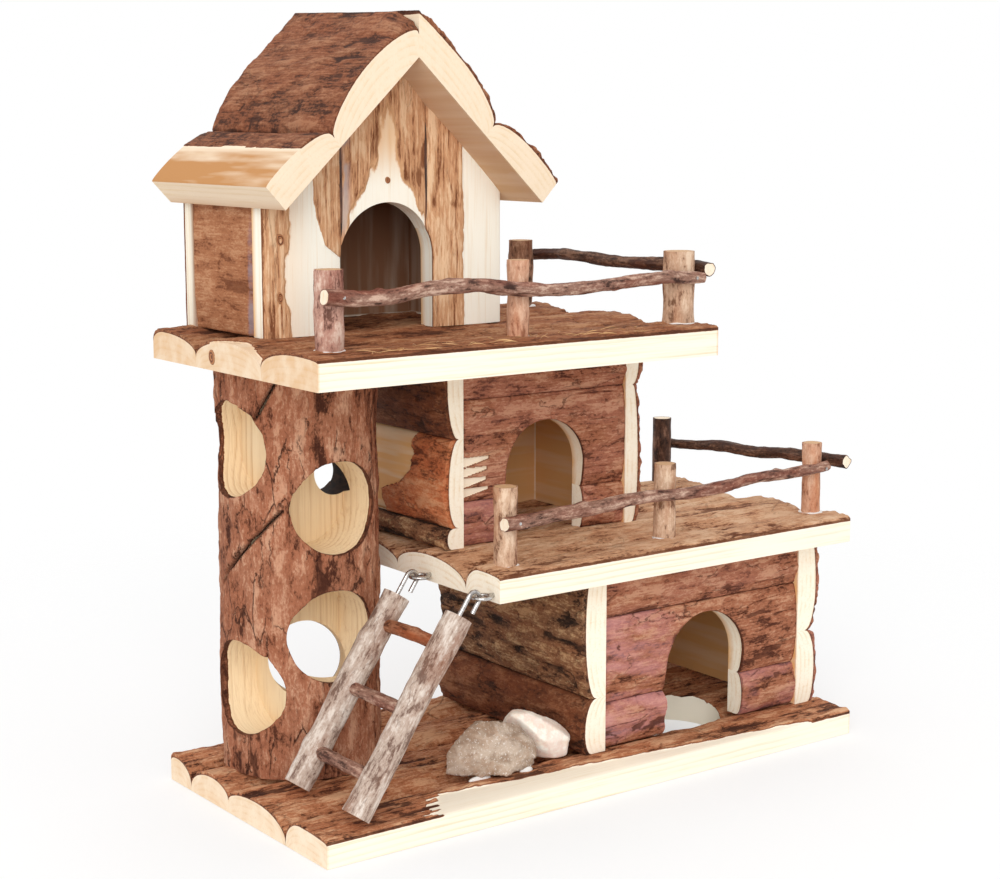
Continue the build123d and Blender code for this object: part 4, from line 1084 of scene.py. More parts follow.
def disc_grid(rings, sides):
    """Shares of a disc's radius from near its middle to its rim, and angles round it."""
    turns = np.linspace(0, 2 * np.pi, sides, endpoint=False)
    return np.meshgrid(np.linspace(0.02, 1, rings), turns, indexing="ij")


def disc_mesh(name, over, under):
    """A closed disc from the rings of its upper side, middle first, and of its under side, rim first."""
    points = np.concatenate([over, under])
    ids, wrapped = rolled_ids(*points.shape[:2])
    mesh = fill_mesh(name, points.reshape(-1, 3), grid_quads(wrapped))
    close_ends(mesh, ids[:, ::-1])
    return mesh


def knot_mesh(name, knot):
    """A disc of rings: it stands up by 0.35 mm at 0.55 of its radius, dips in the middle and sinks at the rim."""
    share, turn = disc_grid(KNOT_RINGS, KNOT_SIDES)
    lift = 0.35 - 1.2 * (share - 0.55) ** 2 - 1.5 * smooth(share, 0.8, 1.0)
    across = np.cross(knot.up, knot.facing)
    uneven = 1 + 0.12 * noise(at(np.cos(turn), np.sin(turn)), 41)
    flat = knot.radii[0] * np.cos(turn)[..., None] * across + knot.radii[1] * np.sin(turn)[..., None] * knot.up
    over = np.array(knot.place) + (share * uneven)[..., None] * flat
    mesh = disc_mesh(name, over + lift[..., None] * knot.facing, over[::-1] - KNOT_SINK * knot.facing)
    keep(mesh, "share", np.concatenate([share, share[::-1]]).ravel())
    return mesh


for number, knot in enumerate(branch_knots):
    name = f"knot_{number + 1}"
    piece(name, knot_mesh(name, knot), knot_wood)
for number, node in enumerate(["house_front_centre", "house_front_right"]):
    low, high = node_box(node)
    foot, top = arch_over(low[0]), roof_under(low[0]) - 1
    middle = (low[0], low[1] + SEAM_DEPTH * (high[1] - low[1]), (foot + top) / 2)
    name = f"seam_{number + 1}"
    seam = Knot(middle, -Y, Z, (SEAM_HALF_WIDTH, (top - foot) / 2))
    piece(name, knot_mesh(name, seam), seam_shade)
print("knots:", len(branch_knots), "and 2 seams")

# %% [markdown]
# The roof is two slabs a side, laid along the ridge and mitred against each other. They lean, so their frame is
# given by the pitch. On the left the lower slab has been planed: only a strip of bark is left under the step.

# %% Roof
ROOF_THICKNESS = 12.0
ROOF_BULGE = 1.2
ROOF_FRONT, ROOF_BACK = -23.5, 62.0
LEFT_SLOPE = np.array([-np.sin(PITCH), 0, np.cos(PITCH)])
RIGHT_SLOPE = np.array([np.sin(PITCH), 0, np.cos(PITCH)])
RoofSlab = namedtuple("RoofSlab", "slab side start end")


def ridge_edge(along, across):
    """How full the upper left slab is at the ridge: worn down at the front corner, thicker towards the back."""
    return np.interp(along, [0, 3, 14, 45, 86], [0.52, 0.66, 0.9, 0.96, 1.04])


def planed_eave(along, across):
    """Bare below the strip of bark."""
    return (across - 12.0 - 0.5 * np.sin(along / 9)) / 1.5


def eave_warmth(along, across):
    """Pale just under the strip of bark, then orange-brown down to the eave, brownest at the back corner."""
    corner = smooth(along, 50, 80) * smooth(across, 18, 26)
    streaks = 0.75 + 0.45 * layers(at(along / 30, across / 2.4), 77, 4) + 0.3 * smooth(across, 16, 28)
    return np.maximum(streaks + 0.6 * corner, 0.1) * smooth(across, 12.5, 15.0)


roof_slabs = [
    RoofSlab(Slab("roof_left_upper", Y, LEFT_SLOPE, (ridge_edge, 0.4, 0.5), roof_bark, 0.6, 0.5), -1, 0.0, 45.0),
    RoofSlab(Slab("roof_left_lower", Y, LEFT_SLOPE, (0.46, 0.94, 0.75), roof_bark, 0.6, 0.5,
                  planed_eave, 0.1, eave_warmth), -1, 45.0, 76.0),
    RoofSlab(Slab("roof_right_upper", -Y, RIGHT_SLOPE, (0.9, 0.42, 0.5), roof_bark, 1.0, 0.9), 1, 0.0, 40.0),
    RoofSlab(Slab("roof_right_lower", -Y, RIGHT_SLOPE, (0.48, 0.86, 0.6), roof_bark, 1.0, 0.9), 1, 40.0, 76.0),
]
for slab, side, start, end in roof_slabs:
    mitre = ROOF_THICKNESS * np.tan(PITCH) if start == 0 else 0.0
    downhill = np.array([side * np.cos(PITCH), 0, -np.sin(PITCH)])
    foot = np.array([RIDGE_X, ROOF_FRONT if side < 0 else ROOF_BACK, APEX_Z]) + start * downhill
    size = [ROOF_BACK - ROOF_FRONT, end - start + mitre, ROOF_THICKNESS + (ROOF_BULGE if mitre else 0)]

    def place(along, across, height, q):
        slope = across - mitre
        if mitre:
            slope = (1 - q) * -height * np.tan(PITCH) + q * (end - start)
        return foot + np.outer(along, slab.run) + np.outer(slope, downhill) + np.outer(height, slab.bark_side)

    wood_piece(slab, slab_mesh(slab, size, place))
print("roof slabs:", len(roof_slabs))

# %% [markdown]
# The trunk is a length of log with its bark on, bored from the front and from the left. Its skin is a sheet rolled
# round: one direction is the angle and the other the height. Noise is read in space and not on the sheet, so the
# seam doesn't show. Two old saw cuts slant across it.

# %% Sticks and logs
RIM_SHARES = [0.02, 0.5, 0.86, 0.93]


def stick_mesh(name, path, radius, sides):
    """A stick: rings round a path, radius(s, turn) from its centre, closed at each end by shrinking rings."""
    path = np.asarray(path, float)
    steps = np.linalg.norm(np.diff(path, axis=0), axis=1)
    along = np.concatenate([[0.0], np.cumsum(steps)])
    rings, inner = len(path), len(RIM_SHARES)
    row = np.concatenate([np.zeros(inner, int), np.arange(rings), np.full(inner, rings - 1)])
    share = np.concatenate([RIM_SHARES, np.ones(rings), RIM_SHARES[::-1]])
    tangent = np.gradient(path, axis=0)
    tangent /= np.linalg.norm(tangent, axis=1, keepdims=True)
    guide = Z if abs(tangent[0, 2]) < 0.8 else X
    side = guide - (tangent @ guide)[:, None] * tangent
    side /= np.linalg.norm(side, axis=1, keepdims=True)
    other = np.cross(tangent, side)
    s, a = np.meshgrid(along[row], np.linspace(0, 2 * np.pi, sides, endpoint=False), indexing="ij")
    reach = radius(s, a) * share[:, None]
    points = path[row][:, None] + reach[..., None] * (
        np.cos(a)[..., None] * side[row][:, None] + np.sin(a)[..., None] * other[row][:, None])
    ids, wrapped = rolled_ids(len(row), sides)
    mesh = fill_mesh(name, points.reshape(-1, 3), grid_quads(wrapped)[:, ::-1])
    close_ends(mesh, ids)
    return mesh, s.ravel(), a.ravel(), reach.ravel(), np.repeat(share, sides)


print("stick ends shrink by", RIM_SHARES)

# %% Tree trunk
TRUNK_X, TRUNK_Y, TRUNK_RADIUS = -88.0, 24.35, 30.0
TRUNK_FOOT, TRUNK_TOP = 11.0, 165.0
TRUNK_SIDES, TRUNK_RINGS = 240, 190
SAW_CUTS = [((-133.0, 162.0), (-151.0, 147.0)), ((-132.0, 113.0), (-194.0, 82.0))]


def saw_cut(turn, z, ends):
    """1 on a straight line over the rolled-out bark and 0 from half a saw's width away."""
    (turn_a, z_a), (turn_b, z_b) = ends
    run = np.array([np.radians(turn_b - turn_a) * TRUNK_RADIUS, z_b - z_a])
    rolled = ((turn - np.radians(turn_a) + np.pi) % (2 * np.pi) - np.pi) * TRUNK_RADIUS
    share = np.clip((rolled * run[0] + (z - z_a) * run[1]) / (run @ run), 0, 1)
    away = np.hypot(rolled - share * run[0], z - z_a - share * run[1])
    return 1 - smooth(away, 0.2, 0.8 + 0.5 * share)


turns = np.linspace(0, 2 * np.pi, TRUNK_SIDES, endpoint=False)
turn, z = (grid.ravel() for grid in np.meshgrid(turns, np.linspace(TRUNK_FOOT, TRUNK_TOP, TRUNK_RINGS)))
round_x, round_y = np.cos(turn) * TRUNK_RADIUS, np.sin(turn) * TRUNK_RADIUS
relief = bark_relief(z + 40, round_x, round_y, 7)
swell = 0.7 * noise(at(round_x / 30, round_y / 30, z / 60), 17)
cuts = sum(saw_cut(turn, z, ends) for ends in SAW_CUTS)
reach = TRUNK_RADIUS + 0.1 + 1.1 * np.maximum(relief, -0.7) + 0.5 * swell - 2.4 * cuts
trunk_points = at(TRUNK_X + reach * np.cos(turn), TRUNK_Y + reach * np.sin(turn), z)
caps = np.array([[TRUNK_X, TRUNK_Y, TRUNK_FOOT], [TRUNK_X, TRUNK_Y, TRUNK_TOP]])
ids, wrapped = rolled_ids(TRUNK_RINGS, TRUNK_SIDES)
faces = grid_quads(wrapped)[:, ::-1].tolist()
faces += np.stack([wrapped[0, 1:], wrapped[0, :-1], np.full(TRUNK_SIDES, ids.size)], axis=1).tolist()
faces += np.stack([wrapped[-1, :-1], wrapped[-1, 1:], np.full(TRUNK_SIDES, ids.size + 1)], axis=1).tolist()
trunk_mesh = bpy.data.meshes.new("trunk")
trunk_mesh.from_pydata((np.concatenate([trunk_points, caps]) * MM).tolist(), [], faces)
keep(trunk_mesh, "relief", np.concatenate([np.clip(0.5 + relief / 1.3, 0, 1), [0, 0]]))
keep(trunk_mesh, "cut", np.concatenate([np.clip(cuts, 0, 1), [0, 0]]))
print("trunk:", len(trunk_mesh.polygons), "faces before boring")

# %% [markdown]
# The trunk's finish tells bark from sawn wood by the distance from its middle: what lies deeper than the bark is
# thick was laid bare by a drill. The rings in the bores follow the same distance, as they do in a real log.

# %% Trunk finish
DEEP_SHADE = paint(46, 28, 16)
WOOD_UP_TO, BARK_FROM, BARK_FULL = 0.0286, 0.0289, 0.0293
IN_MM = 1 / MM


def trunk_finish():
    """Bark on the outside; sawn wood wherever the surface lies deeper than the bark's thickness."""
    finish, tree, shader = new_finish("trunk_bark", {"Roughness": 0.85, "Specular IOR Level": 0.2})
    middle = (TRUNK_X * MM, TRUNK_Y * MM, 0.0)
    centred = put(tree, "ShaderNodeVectorMath", {0: object_place(tree), 1: middle}, operation="SUBTRACT").outputs[0]
    level = scaled(tree, centred, (1.0, 1.0, 0.0))
    radius = put(tree, "ShaderNodeVectorMath", {0: level}, operation="LENGTH").outputs["Value"]
    x, y, z = put(tree, "ShaderNodeSeparateXYZ", {0: scaled(tree, centred, (IN_MM,) * 3)}).outputs
    grain = put(tree, "ShaderNodeCombineXYZ", {0: z, 1: x, 2: y}).outputs[0]
    ringed = put(tree, "ShaderNodeCombineXYZ", {0: z, 1: x, 2: times(tree, radius, -IN_MM)}).outputs[0]
    bark = bark_paint((78, 42, 30), (180, 122, 97), (222, 176, 152), (226, 196, 172), 0.8, RUST, 0.9, 0.5)
    barked = toned(tree, bark_tones, {**bark, "Grain": grain, "Relief": carried(tree, "relief"), "Blushing": 0.15})
    sawn = toned(tree, sawn_tones, {
        "Grain": ringed, "Pale": paint(246, 225, 188), "Ring": paint(188, 138, 88), "Warm": TAN, "Warmth and shade": 0.2})
    rim = times(tree, speckle(tree, grain, (0.25,) * 3, 3.0), 0.0016, radius)
    inner = mixed(tree, ease(tree, rim, WOOD_UP_TO, BARK_FROM), sawn["Color"], INNER_BARK)
    colour = mixed(tree, ease(tree, rim, BARK_FROM, BARK_FULL), inner, barked["Color"])
    # The saw cuts are mixed towards the darkest brown: painted shade in their grooves.
    colour = mixed(tree, times(tree, carried(tree, "cut"), 0.85), colour, DEEP_SHADE)
    height = times(tree, barked["Height"], ease(tree, rim, 0.0288, BARK_FULL))
    dress(tree, shader, colour, times(tree, sawn["Height"], 0.5, height), 1.0, 0.001)
    return finish


def painted_bore_shade():
    """Painted shade for the narrow way out: near-black brown speckles where the hole lies deep in shade."""
    finish, tree, shader = new_finish("painted_bore_shade", {"Roughness": 0.9})
    patchy_shade = ease(tree, speckle(tree, object_place(tree), (90.0, 90.0, 400.0), 4.0, 0.65), 0.35, 0.7)
    dress(tree, shader, mixed(tree, patchy_shade, DEEP_SHADE, paint(92, 58, 36)))
    return finish


trunk = piece("wood_tree_trunk", trunk_mesh, trunk_finish(), ["tree_trunk"])
print("trunk finish:", len(trunk_mesh.materials[0].node_tree.nodes), "nodes")

# %% [markdown]
# The bores are cut as the floor hole is: two from the left, two from the front, and behind each of the front ones
# a slanting way out. The upper way out keeps its cutter's material: painted shade for the dark inside of the hole.

# %% Trunk bores
FRONT_BORE_RADIUS, LEFT_BORE_RADIUS = 17.5, 18.0
FRONT_BORE_DEPTH, WAY_OUT_LENGTH = 25.7, 110.0
MARGIN = 9.0
FrontBore = namedtuple("FrontBore", "x z side rise turn drop run_in exit_radius")
FRONT_BORES = [
    FrontBore(-88.3, 113.0, 13.5, 8.5, 9.0, 9.0, 3.0, 8.75),
    FrontBore(-90.0, 64.7, 1.7, -14.2, 28.0, 14.0, 14.0, 14.5),
]
LEFT_BORES = [(23.95, 134.0, 15.0), (19.75, 44.3, 17.4)]


def sloping(turn, drop):
    """A direction to the back, turned to the right and dropped by angles in degrees."""
    turn, drop = np.radians([turn, drop])
    return np.array([np.sin(turn) * np.cos(drop), np.cos(turn) * np.cos(drop), -np.sin(drop)])


front_y = TRUNK_Y - TRUNK_RADIUS
left_x = TRUNK_X - TRUNK_RADIUS
cutters = []
for y, z, depth in LEFT_BORES:
    cutters.append(rod_cutter((left_x - MARGIN, y, z), X, LEFT_BORE_RADIUS, depth + MARGIN))
# The upper way out's cutter carries painted shade, which the Boolean hands on to the faces it cuts.
for hole, painted_shade in zip(FRONT_BORES, (painted_bore_shade(), None)):
    cutters.append(rod_cutter((hole.x, front_y - MARGIN, hole.z), Y, FRONT_BORE_RADIUS, FRONT_BORE_DEPTH + MARGIN))
    way_out = sloping(hole.turn, hole.drop)
    meeting = np.array([hole.x + hole.side, front_y + FRONT_BORE_DEPTH, hole.z + hole.rise])
    cutters.append(rod_cutter(meeting - hole.run_in * way_out, way_out, hole.exit_radius, WAY_OUT_LENGTH))
    if painted_shade:
        cutters[-1].data.materials.append(painted_shade)
bore(trunk, cutters)
trunk.data.shade_smooth()
trunk.data.set_sharp_from_angle(angle=np.radians(SHARP_EDGE))
print("trunk:", len(trunk.data.polygons), "faces after boring")

# %% [markdown]
# Posts, railing twigs and ladder sticks are rings carried along a line. The radius changes with a little noise and
# with knots, which are small bumps at a place along the stick. At each end the rings shrink to the middle, and
# leave a narrow rim of bark round the pale cut.

# %% Stick finishes
STICK_END = paint(196, 160, 128)
STICK_BUMP = 0.0003
twig_bark = wooden("twig_bark", bark_paint(
    (60, 36, 28), (152, 116, 104), (212, 184, 172), (214, 194, 184), 0.5, (126, 72, 58)),
    roughness=0.6, bump=STICK_BUMP)
dark_twig = wooden("dark_twig", bark_paint(
    (34, 21, 15), (84, 58, 46), (138, 106, 90), (180, 156, 142), 0.35, (92, 54, 42)),
    roughness=0.6, bump=STICK_BUMP)
grey_stick = wooden("grey_stick", bark_paint(
    (124, 100, 92), (196, 180, 174), (232, 226, 226), (236, 232, 234), 0.5, (140, 96, 74), 0.5, 1.4),
    pale=STICK_END, roughness=0.75, bump=STICK_BUMP)
rung_bark = wooden("rung_bark", bark_paint(
    (84, 46, 30), (152, 100, 74), (190, 142, 116), DUST, 0.4, RUST), bump=STICK_BUMP)
plum_stick = wooden("plum_stick", bark_paint(
    (110, 75, 67), (204, 163, 153), (236, 214, 206), (234, 220, 214), 0.7, (120, 74, 64)),
    pale=STICK_END, bump=STICK_BUMP)
pink_stick = wooden("pink_stick", bark_paint(
    (156, 110, 88), (218, 174, 152), (240, 206, 186), (238, 214, 196), 0.3, (190, 134, 106)),
    pale=STICK_END, bump=STICK_BUMP)
tan_stick = wooden("tan_stick", bark_paint(
    (126, 92, 72), (215, 184, 163), (240, 218, 200), (236, 218, 204), 0.5, (168, 116, 90)),
    pale=STICK_END, bump=STICK_BUMP)
brown_stick = wooden("brown_stick", bark_paint(
    (66, 44, 33), (154, 118, 98), (200, 166, 144), DUST, 0.4, (112, 72, 54)),
    pale=STICK_END, bump=STICK_BUMP)
print("stick finishes:", [m.name for m in bpy.data.materials if m.name.endswith("stick")])

# %% Stick pieces
END_WARMTH = 0.35


def stick_piece(name, path, widths, finish, nodes, body="house", knots=(), rough=0.06, sides=36):
    """A finished stick, as wide at its two ends as widths says. A knot is (share of length, angle, height, length)."""
    seed = next(seeds)
    length = np.linalg.norm(np.diff(path, axis=0), axis=1).sum()

    def radius(s, a):
        uneven = layers(at(s / 9, np.cos(a) * 1.3, np.sin(a) * 1.3), seed, 3)
        reach = np.interp(s, [0, length], widths) / 2 * (1 + rough * uneven)
        for share, angle, height, long in knots:
            apart = (a - angle + np.pi) % (2 * np.pi) - np.pi
            reach = reach + height * np.exp(-((s - share * length) / long) ** 2 - (apart / 0.9) ** 2)
        return reach

    mesh, s, a, reach, share = stick_mesh(name, path, radius, sides)
    round_x, round_y = np.cos(a), np.sin(a)
    uneven = layers(at(s / 5, round_x * 2.5, round_y * 2.5), seed + 7, 3)
    patchy = layers(at(s / 16, round_x, round_y), seed + 13, 2)
    keep(mesh, "bark", smooth(share, 0.87, 0.94))
    keep(mesh, "relief", np.clip(0.5 + 0.6 * uneven, 0, 1))
    keep(mesh, "grain", at(s + 3 * seed, round_x * reach + seed, round_y * reach))
    keep(mesh, "warm", np.full(len(s), END_WARMTH))
    keep(mesh, "blush", np.clip(0.35 + 0.7 * patchy, 0, 1))
    return piece(name, mesh, finish, nodes, body)


print("cut ends of sticks are warmed by", END_WARMTH)

# %% [markdown]
# The railing posts are short lengths of branch, each from a different one, so each has its own knots and one of a few
# finishes.
# They start a little under the deck's surface, because bark isn't flat.

# %% Railing posts
POST_SINK, POST_RINGS = 1.6, 34
Post = namedtuple("Post", "node finish knots")
posts = [
    Post("top_post_front_left", plum_stick, [(0.5, 2.4, 0.5, 2.5), (0.8, 3.9, 0.4, 2.0)]),
    Post("top_post_front_middle", pink_stick, [(0.35, 4.2, 0.35, 2.0)]),
    Post("top_post_front_right", tan_stick, [(0.3, 4.0, 0.5, 3.0)]),
    Post("top_post_back_right", brown_stick, [(0.6, 4.5, 0.5, 3.0)]),
    Post("mid_post_front_left", tan_stick, [(0.5, 4.0, 0.4, 2.5)]),
    Post("mid_post_front_middle", tan_stick, [(0.62, 4.6, 0.35, 2.0)]),
    Post("mid_post_front_right", pink_stick, [(0.3, 4.3, 0.3, 2.0)]),
    Post("mid_post_back_right", dark_twig, [(0.7, 4.0, 0.4, 2.0)]),
]
for node, finish, knots in posts:
    low, high = node_box(node)
    middle = (low + high) / 2
    rise = np.linspace(low[2] - POST_SINK, high[2], POST_RINGS)
    widths = [high[0] - low[0]] * 2
    stick_piece("stick_" + node, at(middle[0], middle[1], rise), widths, finish, [node],
                knots=knots, sides=48)
print("posts:", len(posts))

# %% [markdown]
# The rails are thin twigs that nobody straightened. A few points are given along each one, and a Catmull-Rom
# curve goes through them all: between two points it is a cubic whose slopes come from the neighbours.


# %% Railing twigs
def through(points, count):
    """Points along a smooth line through the given ones: Catmull-Rom cubics, with the ends carried on straight."""
    points = np.asarray(points, float)
    points = np.concatenate([[2 * points[0] - points[1]], points, [2 * points[-1] - points[-2]]])
    t = np.linspace(0, len(points) - 3 - 1e-9, count)
    k = t.astype(int)
    f = (t - k)[:, None]
    a, b, c, d = (points[k + shift] for shift in range(4))
    return 0.5 * (2 * b + (c - a) * f + (2 * a - 5 * b + 4 * c - d) * f**2 + (3 * b - a - 3 * c + d) * f**3)


def waved(start, end, sideways, heights):
    """A straight line from start to end, pushed sideways and to new heights at even steps."""
    share = np.linspace(0, 1, len(heights))[:, None]
    line = np.array(start) + share * (np.array(end) - np.array(start))
    line[:, 2] = heights
    return line + np.outer(0.7 * np.sin(np.linspace(0, 9, len(heights))), sideways)


Twig = namedtuple("Twig", "node start end sideways heights finish knots")
twigs = [
    Twig("top_front_rail", (-121.8, -52.0, 0), (46.5, -52.0, 0), Y,
         [195.4, 193.8, 195.9, 196.1, 193.7, 193.1, 194.0, 194.9, 194.2], twig_bark,
         [(0.13, 0.4, 1.0, 2.2), (0.3, 5.6, 0.7, 2.2), (0.52, 0.8, 0.9, 2.5), (0.74, 3.6, 0.8, 2.0),
          (0.9, 0.5, 0.7, 2.0)]),
    Twig("top_side_rail", (49.9, -51.8, 0), (42.1, 51.0, 0), X,
         [197.2, 197.9, 197.5, 197.4, 198.2, 198.6, 197.4], dark_twig,
         [(0.2, 1.2, 0.8, 2.2), (0.55, 1.8, 0.9, 2.5), (0.8, 5.0, 0.7, 2.0)]),
    Twig("mid_front_rail", (-47.5, -51.7, 0), (121.4, -47.3, 0), Y,
         [109.4, 109.9, 110.3, 111.6, 111.0, 110.8, 112.4, 112.0, 112.6], twig_bark,
         [(0.22, 0.2, 0.9, 2.5), (0.4, 4.0, 0.7, 2.0), (0.62, 0.8, 0.8, 2.4), (0.83, 5.8, 0.7, 2.0)]),
    Twig("mid_side_rail", (125.4, -54.0, 0), (119.6, 49.9, 0), X,
         [115.0, 114.2, 113.8, 112.4, 112.6, 110.6, 109.6], dark_twig,
         [(0.3, 1.2, 0.8, 2.4), (0.62, 2.2, 0.8, 2.2)]),
]
TWIG_WIDTHS, TWIG_RINGS = [5.4, 4.2], 260
for twig in twigs:
    line = waved(twig.start, twig.end, twig.sideways, twig.heights)
    stick_piece("stick_" + twig.node, through(line, TWIG_RINGS), TWIG_WIDTHS, twig.finish, [twig.node],
                knots=twig.knots, rough=0.16, sides=28)
print("twigs:", len(twigs))

# %% [markdown]
# The ladder is two grey sticks with three rungs let into them. It rides on the ladder body, so that it swings with
# the hooks. Its tilt and the line through the screw eyes come from the CAD model.

# %% Ladder
LADDER_TILT = np.radians(34.3)
PIVOT_X, PIVOT_Z = -61.5, 84.6
HOOK_REACH, HOOK_BEND = 8.5, 2.4
STILE_DIAMETER = 10.5
RUNG_DIAMETER, RUNG_SEAT = 4.9, 3.0
FIRST_RUNG, RUNG_PITCH = 12.0, 26.0
STILE_RINGS, RUNG_RINGS = 110, 60
LADDER_UP = np.array([np.sin(LADDER_TILT), 0, np.cos(LADDER_TILT)])
LADDER_OUT = np.array([-np.cos(LADDER_TILT), 0, np.sin(LADDER_TILT)])


def on_ladder(along, y):
    """A point of a stile's centre line, along the ladder from the pivot."""
    return np.array([PIVOT_X, y, PIVOT_Z]) + along * LADDER_UP + HOOK_BEND * LADDER_OUT


stile_y = {}
stile_knots = {
    "ladder_stile_front": [(0.38, 2.5, 0.7, 3.0), (0.62, 5.2, 0.6, 2.5), (0.3, 5.0, 0.5, 2.0)],
    "ladder_stile_back": [(0.24, 3.6, 0.6, 2.5), (0.8, 4.3, 0.8, 3.0), (0.5, 4.6, 0.4, 2.0)],
}
for node, knots in stile_knots.items():
    low, high = node_box(node)
    y = stile_y[node] = (low[1] + high[1]) / 2
    foot_z = low[2] + STILE_DIAMETER / 2 * np.sin(LADDER_TILT)
    top = on_ladder(-HOOK_REACH, y)
    length = (top[2] - foot_z) / LADDER_UP[2]
    share = np.linspace(0, 1, STILE_RINGS)
    bend = 0.5 * np.sin(1.5 * np.pi * share) * np.sin(np.pi * share)
    path = top - np.outer(length * share, LADDER_UP) + np.outer(bend, LADDER_OUT)
    stick_piece("stick_" + node, path, [STILE_DIAMETER - 0.1] * 2, grey_stick, [node], "ladder",
                knots, 0.05, 56)
inner_front = stile_y["ladder_stile_front"] + STILE_DIAMETER / 2 - RUNG_SEAT
inner_back = stile_y["ladder_stile_back"] - STILE_DIAMETER / 2 + RUNG_SEAT
for number, finish in enumerate([rung_bark, twig_bark, twig_bark]):
    down = HOOK_REACH + FIRST_RUNG + RUNG_PITCH * number
    ends = [on_ladder(-down, y) for y in (inner_front, inner_back)]
    share = np.linspace(0, 1, RUNG_RINGS)
    bend = np.outer(0.5 * np.sin(np.pi * share), LADDER_OUT if number else LADDER_UP)
    path = ends[0] + np.outer(share, ends[1] - ends[0]) + bend
    stick_piece(f"stick_rung_{number + 1}", path, [RUNG_DIAMETER] * 2, finish, ["ladder_rungs"],
                "ladder", [(0.45, 1.0 + number, 0.4, 2.5)], 0.08, 32)
print("ladder:", len(stile_knots), "stiles,", number + 1, "rungs")

# %% [markdown]
# The stones are broken, not worn. A stone is the part of space inside a handful of planes, here those of the CAD
# stone's faces, so the distance from its middle to its skin in some direction is the shortest of the distances to
# those planes. A soft minimum rounds the edges a little, and noise makes the faces rough.

# %% Stones
Stone = namedtuple("Stone", "node softness rough slot")
stones = [Stone("stone_grey", 26, 0.05, "grey_stone"), Stone("stone_pale", 30, 0.02, "pale_stone")]


def stone_planes(node):
    """The unit normals of a CAD stone's faces, and their distances from the middle of its box in millimetres."""
    held = frame["nodes"][node]
    turned = np.array(held.matrix_world)
    normals = np.array([face.normal for face in held.data.polygons]) @ turned[:3, :3].T
    places = np.array([face.center for face in held.data.polygons]) @ turned[:3, :3].T + turned[:3, 3]
    normals /= np.linalg.norm(normals, axis=1, keepdims=True)
    middle = np.mean(node_box(node), axis=0)
    offsets = ((places / MM - middle) * normals).sum(axis=1)
    planes = np.unique(np.column_stack([normals, offsets]).round(2), axis=0)
    return planes[:, :3], planes[:, 3]


def stone_mesh(stone, rows=96, columns=150):
    """Distance to the skin: (sum over planes of max(0, n.d / offset)^p)^(-1/p), on a grid of directions d."""
    down = np.linspace(0.012, np.pi - 0.012, rows)
    turn = np.linspace(0, 2 * np.pi, columns, endpoint=False)
    down, turn = (grid.ravel() for grid in np.meshgrid(down, turn, indexing="ij"))
    toward = at(np.sin(down) * np.cos(turn), np.sin(down) * np.sin(turn), np.cos(down))
    normals, offsets = stone_planes(stone.node)
    facing = np.clip(toward @ normals.T / offsets, 0, None)
    reach = (facing**stone.softness).sum(axis=1) ** (-1 / stone.softness)
    seed = next(seeds)
    rough = layers(toward * 2.6, seed, 6) + 0.5 * np.abs(noise(toward * 5.0, seed + 9))
    rough += 0.35 * noise(toward * 24.0, seed + 4)
    points = toward * (reach * (1 + stone.rough * rough))[:, None]
    low, high = node_box(stone.node)
    spread = points.max(axis=0) - points.min(axis=0)
    points = low + (points - points.min(axis=0)) / spread * (high - low)
    ids, wrapped = rolled_ids(rows, columns)
    mesh = fill_mesh(stone.node, points, grid_quads(wrapped))
    close_ends(mesh, ids[:, ::-1])
    keep(mesh, "relief", np.clip(0.5 + 0.5 * rough, 0, 1))
    return mesh


print("planes of each stone:", [len(stone_planes(stone.node)[1]) for stone in stones])

# %% Stone finishes
def stone_finish(name, base, dark, vein, bright, veins):
    """Mottled stone: two tones by broad noise and by the relief, darker in its low places as painted shade, grains by
    fine noise, and veins where a third is near its middle.
    """
    finish, tree, shader = new_finish(name, {"Roughness": 0.8})
    place = object_place(tree)
    broad = speckle(tree, place, (110.0,) * 3, 5.0, 0.6)
    fine = speckle(tree, place, (1100.0,) * 3, 3.0, 0.75)
    # Low places of the rough surface are darker: painted shade.
    tone = times(tree, carried(tree, "relief"), 0.5, times(tree, broad, 0.8))
    colour = mixed(tree, ease(tree, tone, 0.45, 0.85), dark, base)
    line = sums(tree, "ABSOLUTE", sums(tree, "SUBTRACT", speckle(tree, place, (70.0,) * 3, 4.0, 0.6), 0.5))
    line = sums(tree, "SUBTRACT", 1.0, ease(tree, line, 0.0, 0.06))
    colour = mixed(tree, times(tree, line, veins), colour, vein)
    colour = mixed(tree, times(tree, ease(tree, fine, 0.56, 0.7), 0.85), colour, bright)
    pitted = ease(tree, sums(tree, "SUBTRACT", 1.0, fine), 0.58, 0.72)
    colour = mixed(tree, times(tree, pitted, 0.5), colour, dark)
    dress(tree, shader, colour, times(tree, fine, 0.5, broad), 0.6, 0.0006)
    return finish


stone_paints = [
    stone_finish("grey_stone", paint(192, 172, 154), paint(150, 126, 106), paint(166, 128, 98),
                 paint(240, 234, 228), 0.3),
    stone_finish("pale_stone", paint(253, 246, 234), paint(248, 230, 212), paint(228, 182, 166),
                 paint(255, 252, 246), 0.35),
]
for stone, finish in zip(stones, stone_paints):
    piece("rock_" + stone.node, stone_mesh(stone), finish, [stone.node], sharp=40.0)
print("stones:", [stone.node for stone in stones])

# %% [markdown]
# Small signs of handwork: dried glue at the feet of posts and stones, and wood fibres along the top deck's front
# edge. Round a post the glue is a torus whose thickness wanders, half sunk into the deck, and at a stone it is a
# flat drop. A fibre is a thin three-sided sweep along a curl.

# %% Dried glue
RING_SEED, DROP_SEED = 300, 320
glue, tree, shader = new_finish("dried_glue", {"Roughness": 0.35})
cloud = speckle(tree, object_place(tree), (400.0,) * 3, 3.0)
dress(tree, shader, mixed(tree, cloud, paint(226, 220, 212), paint(248, 246, 244)))


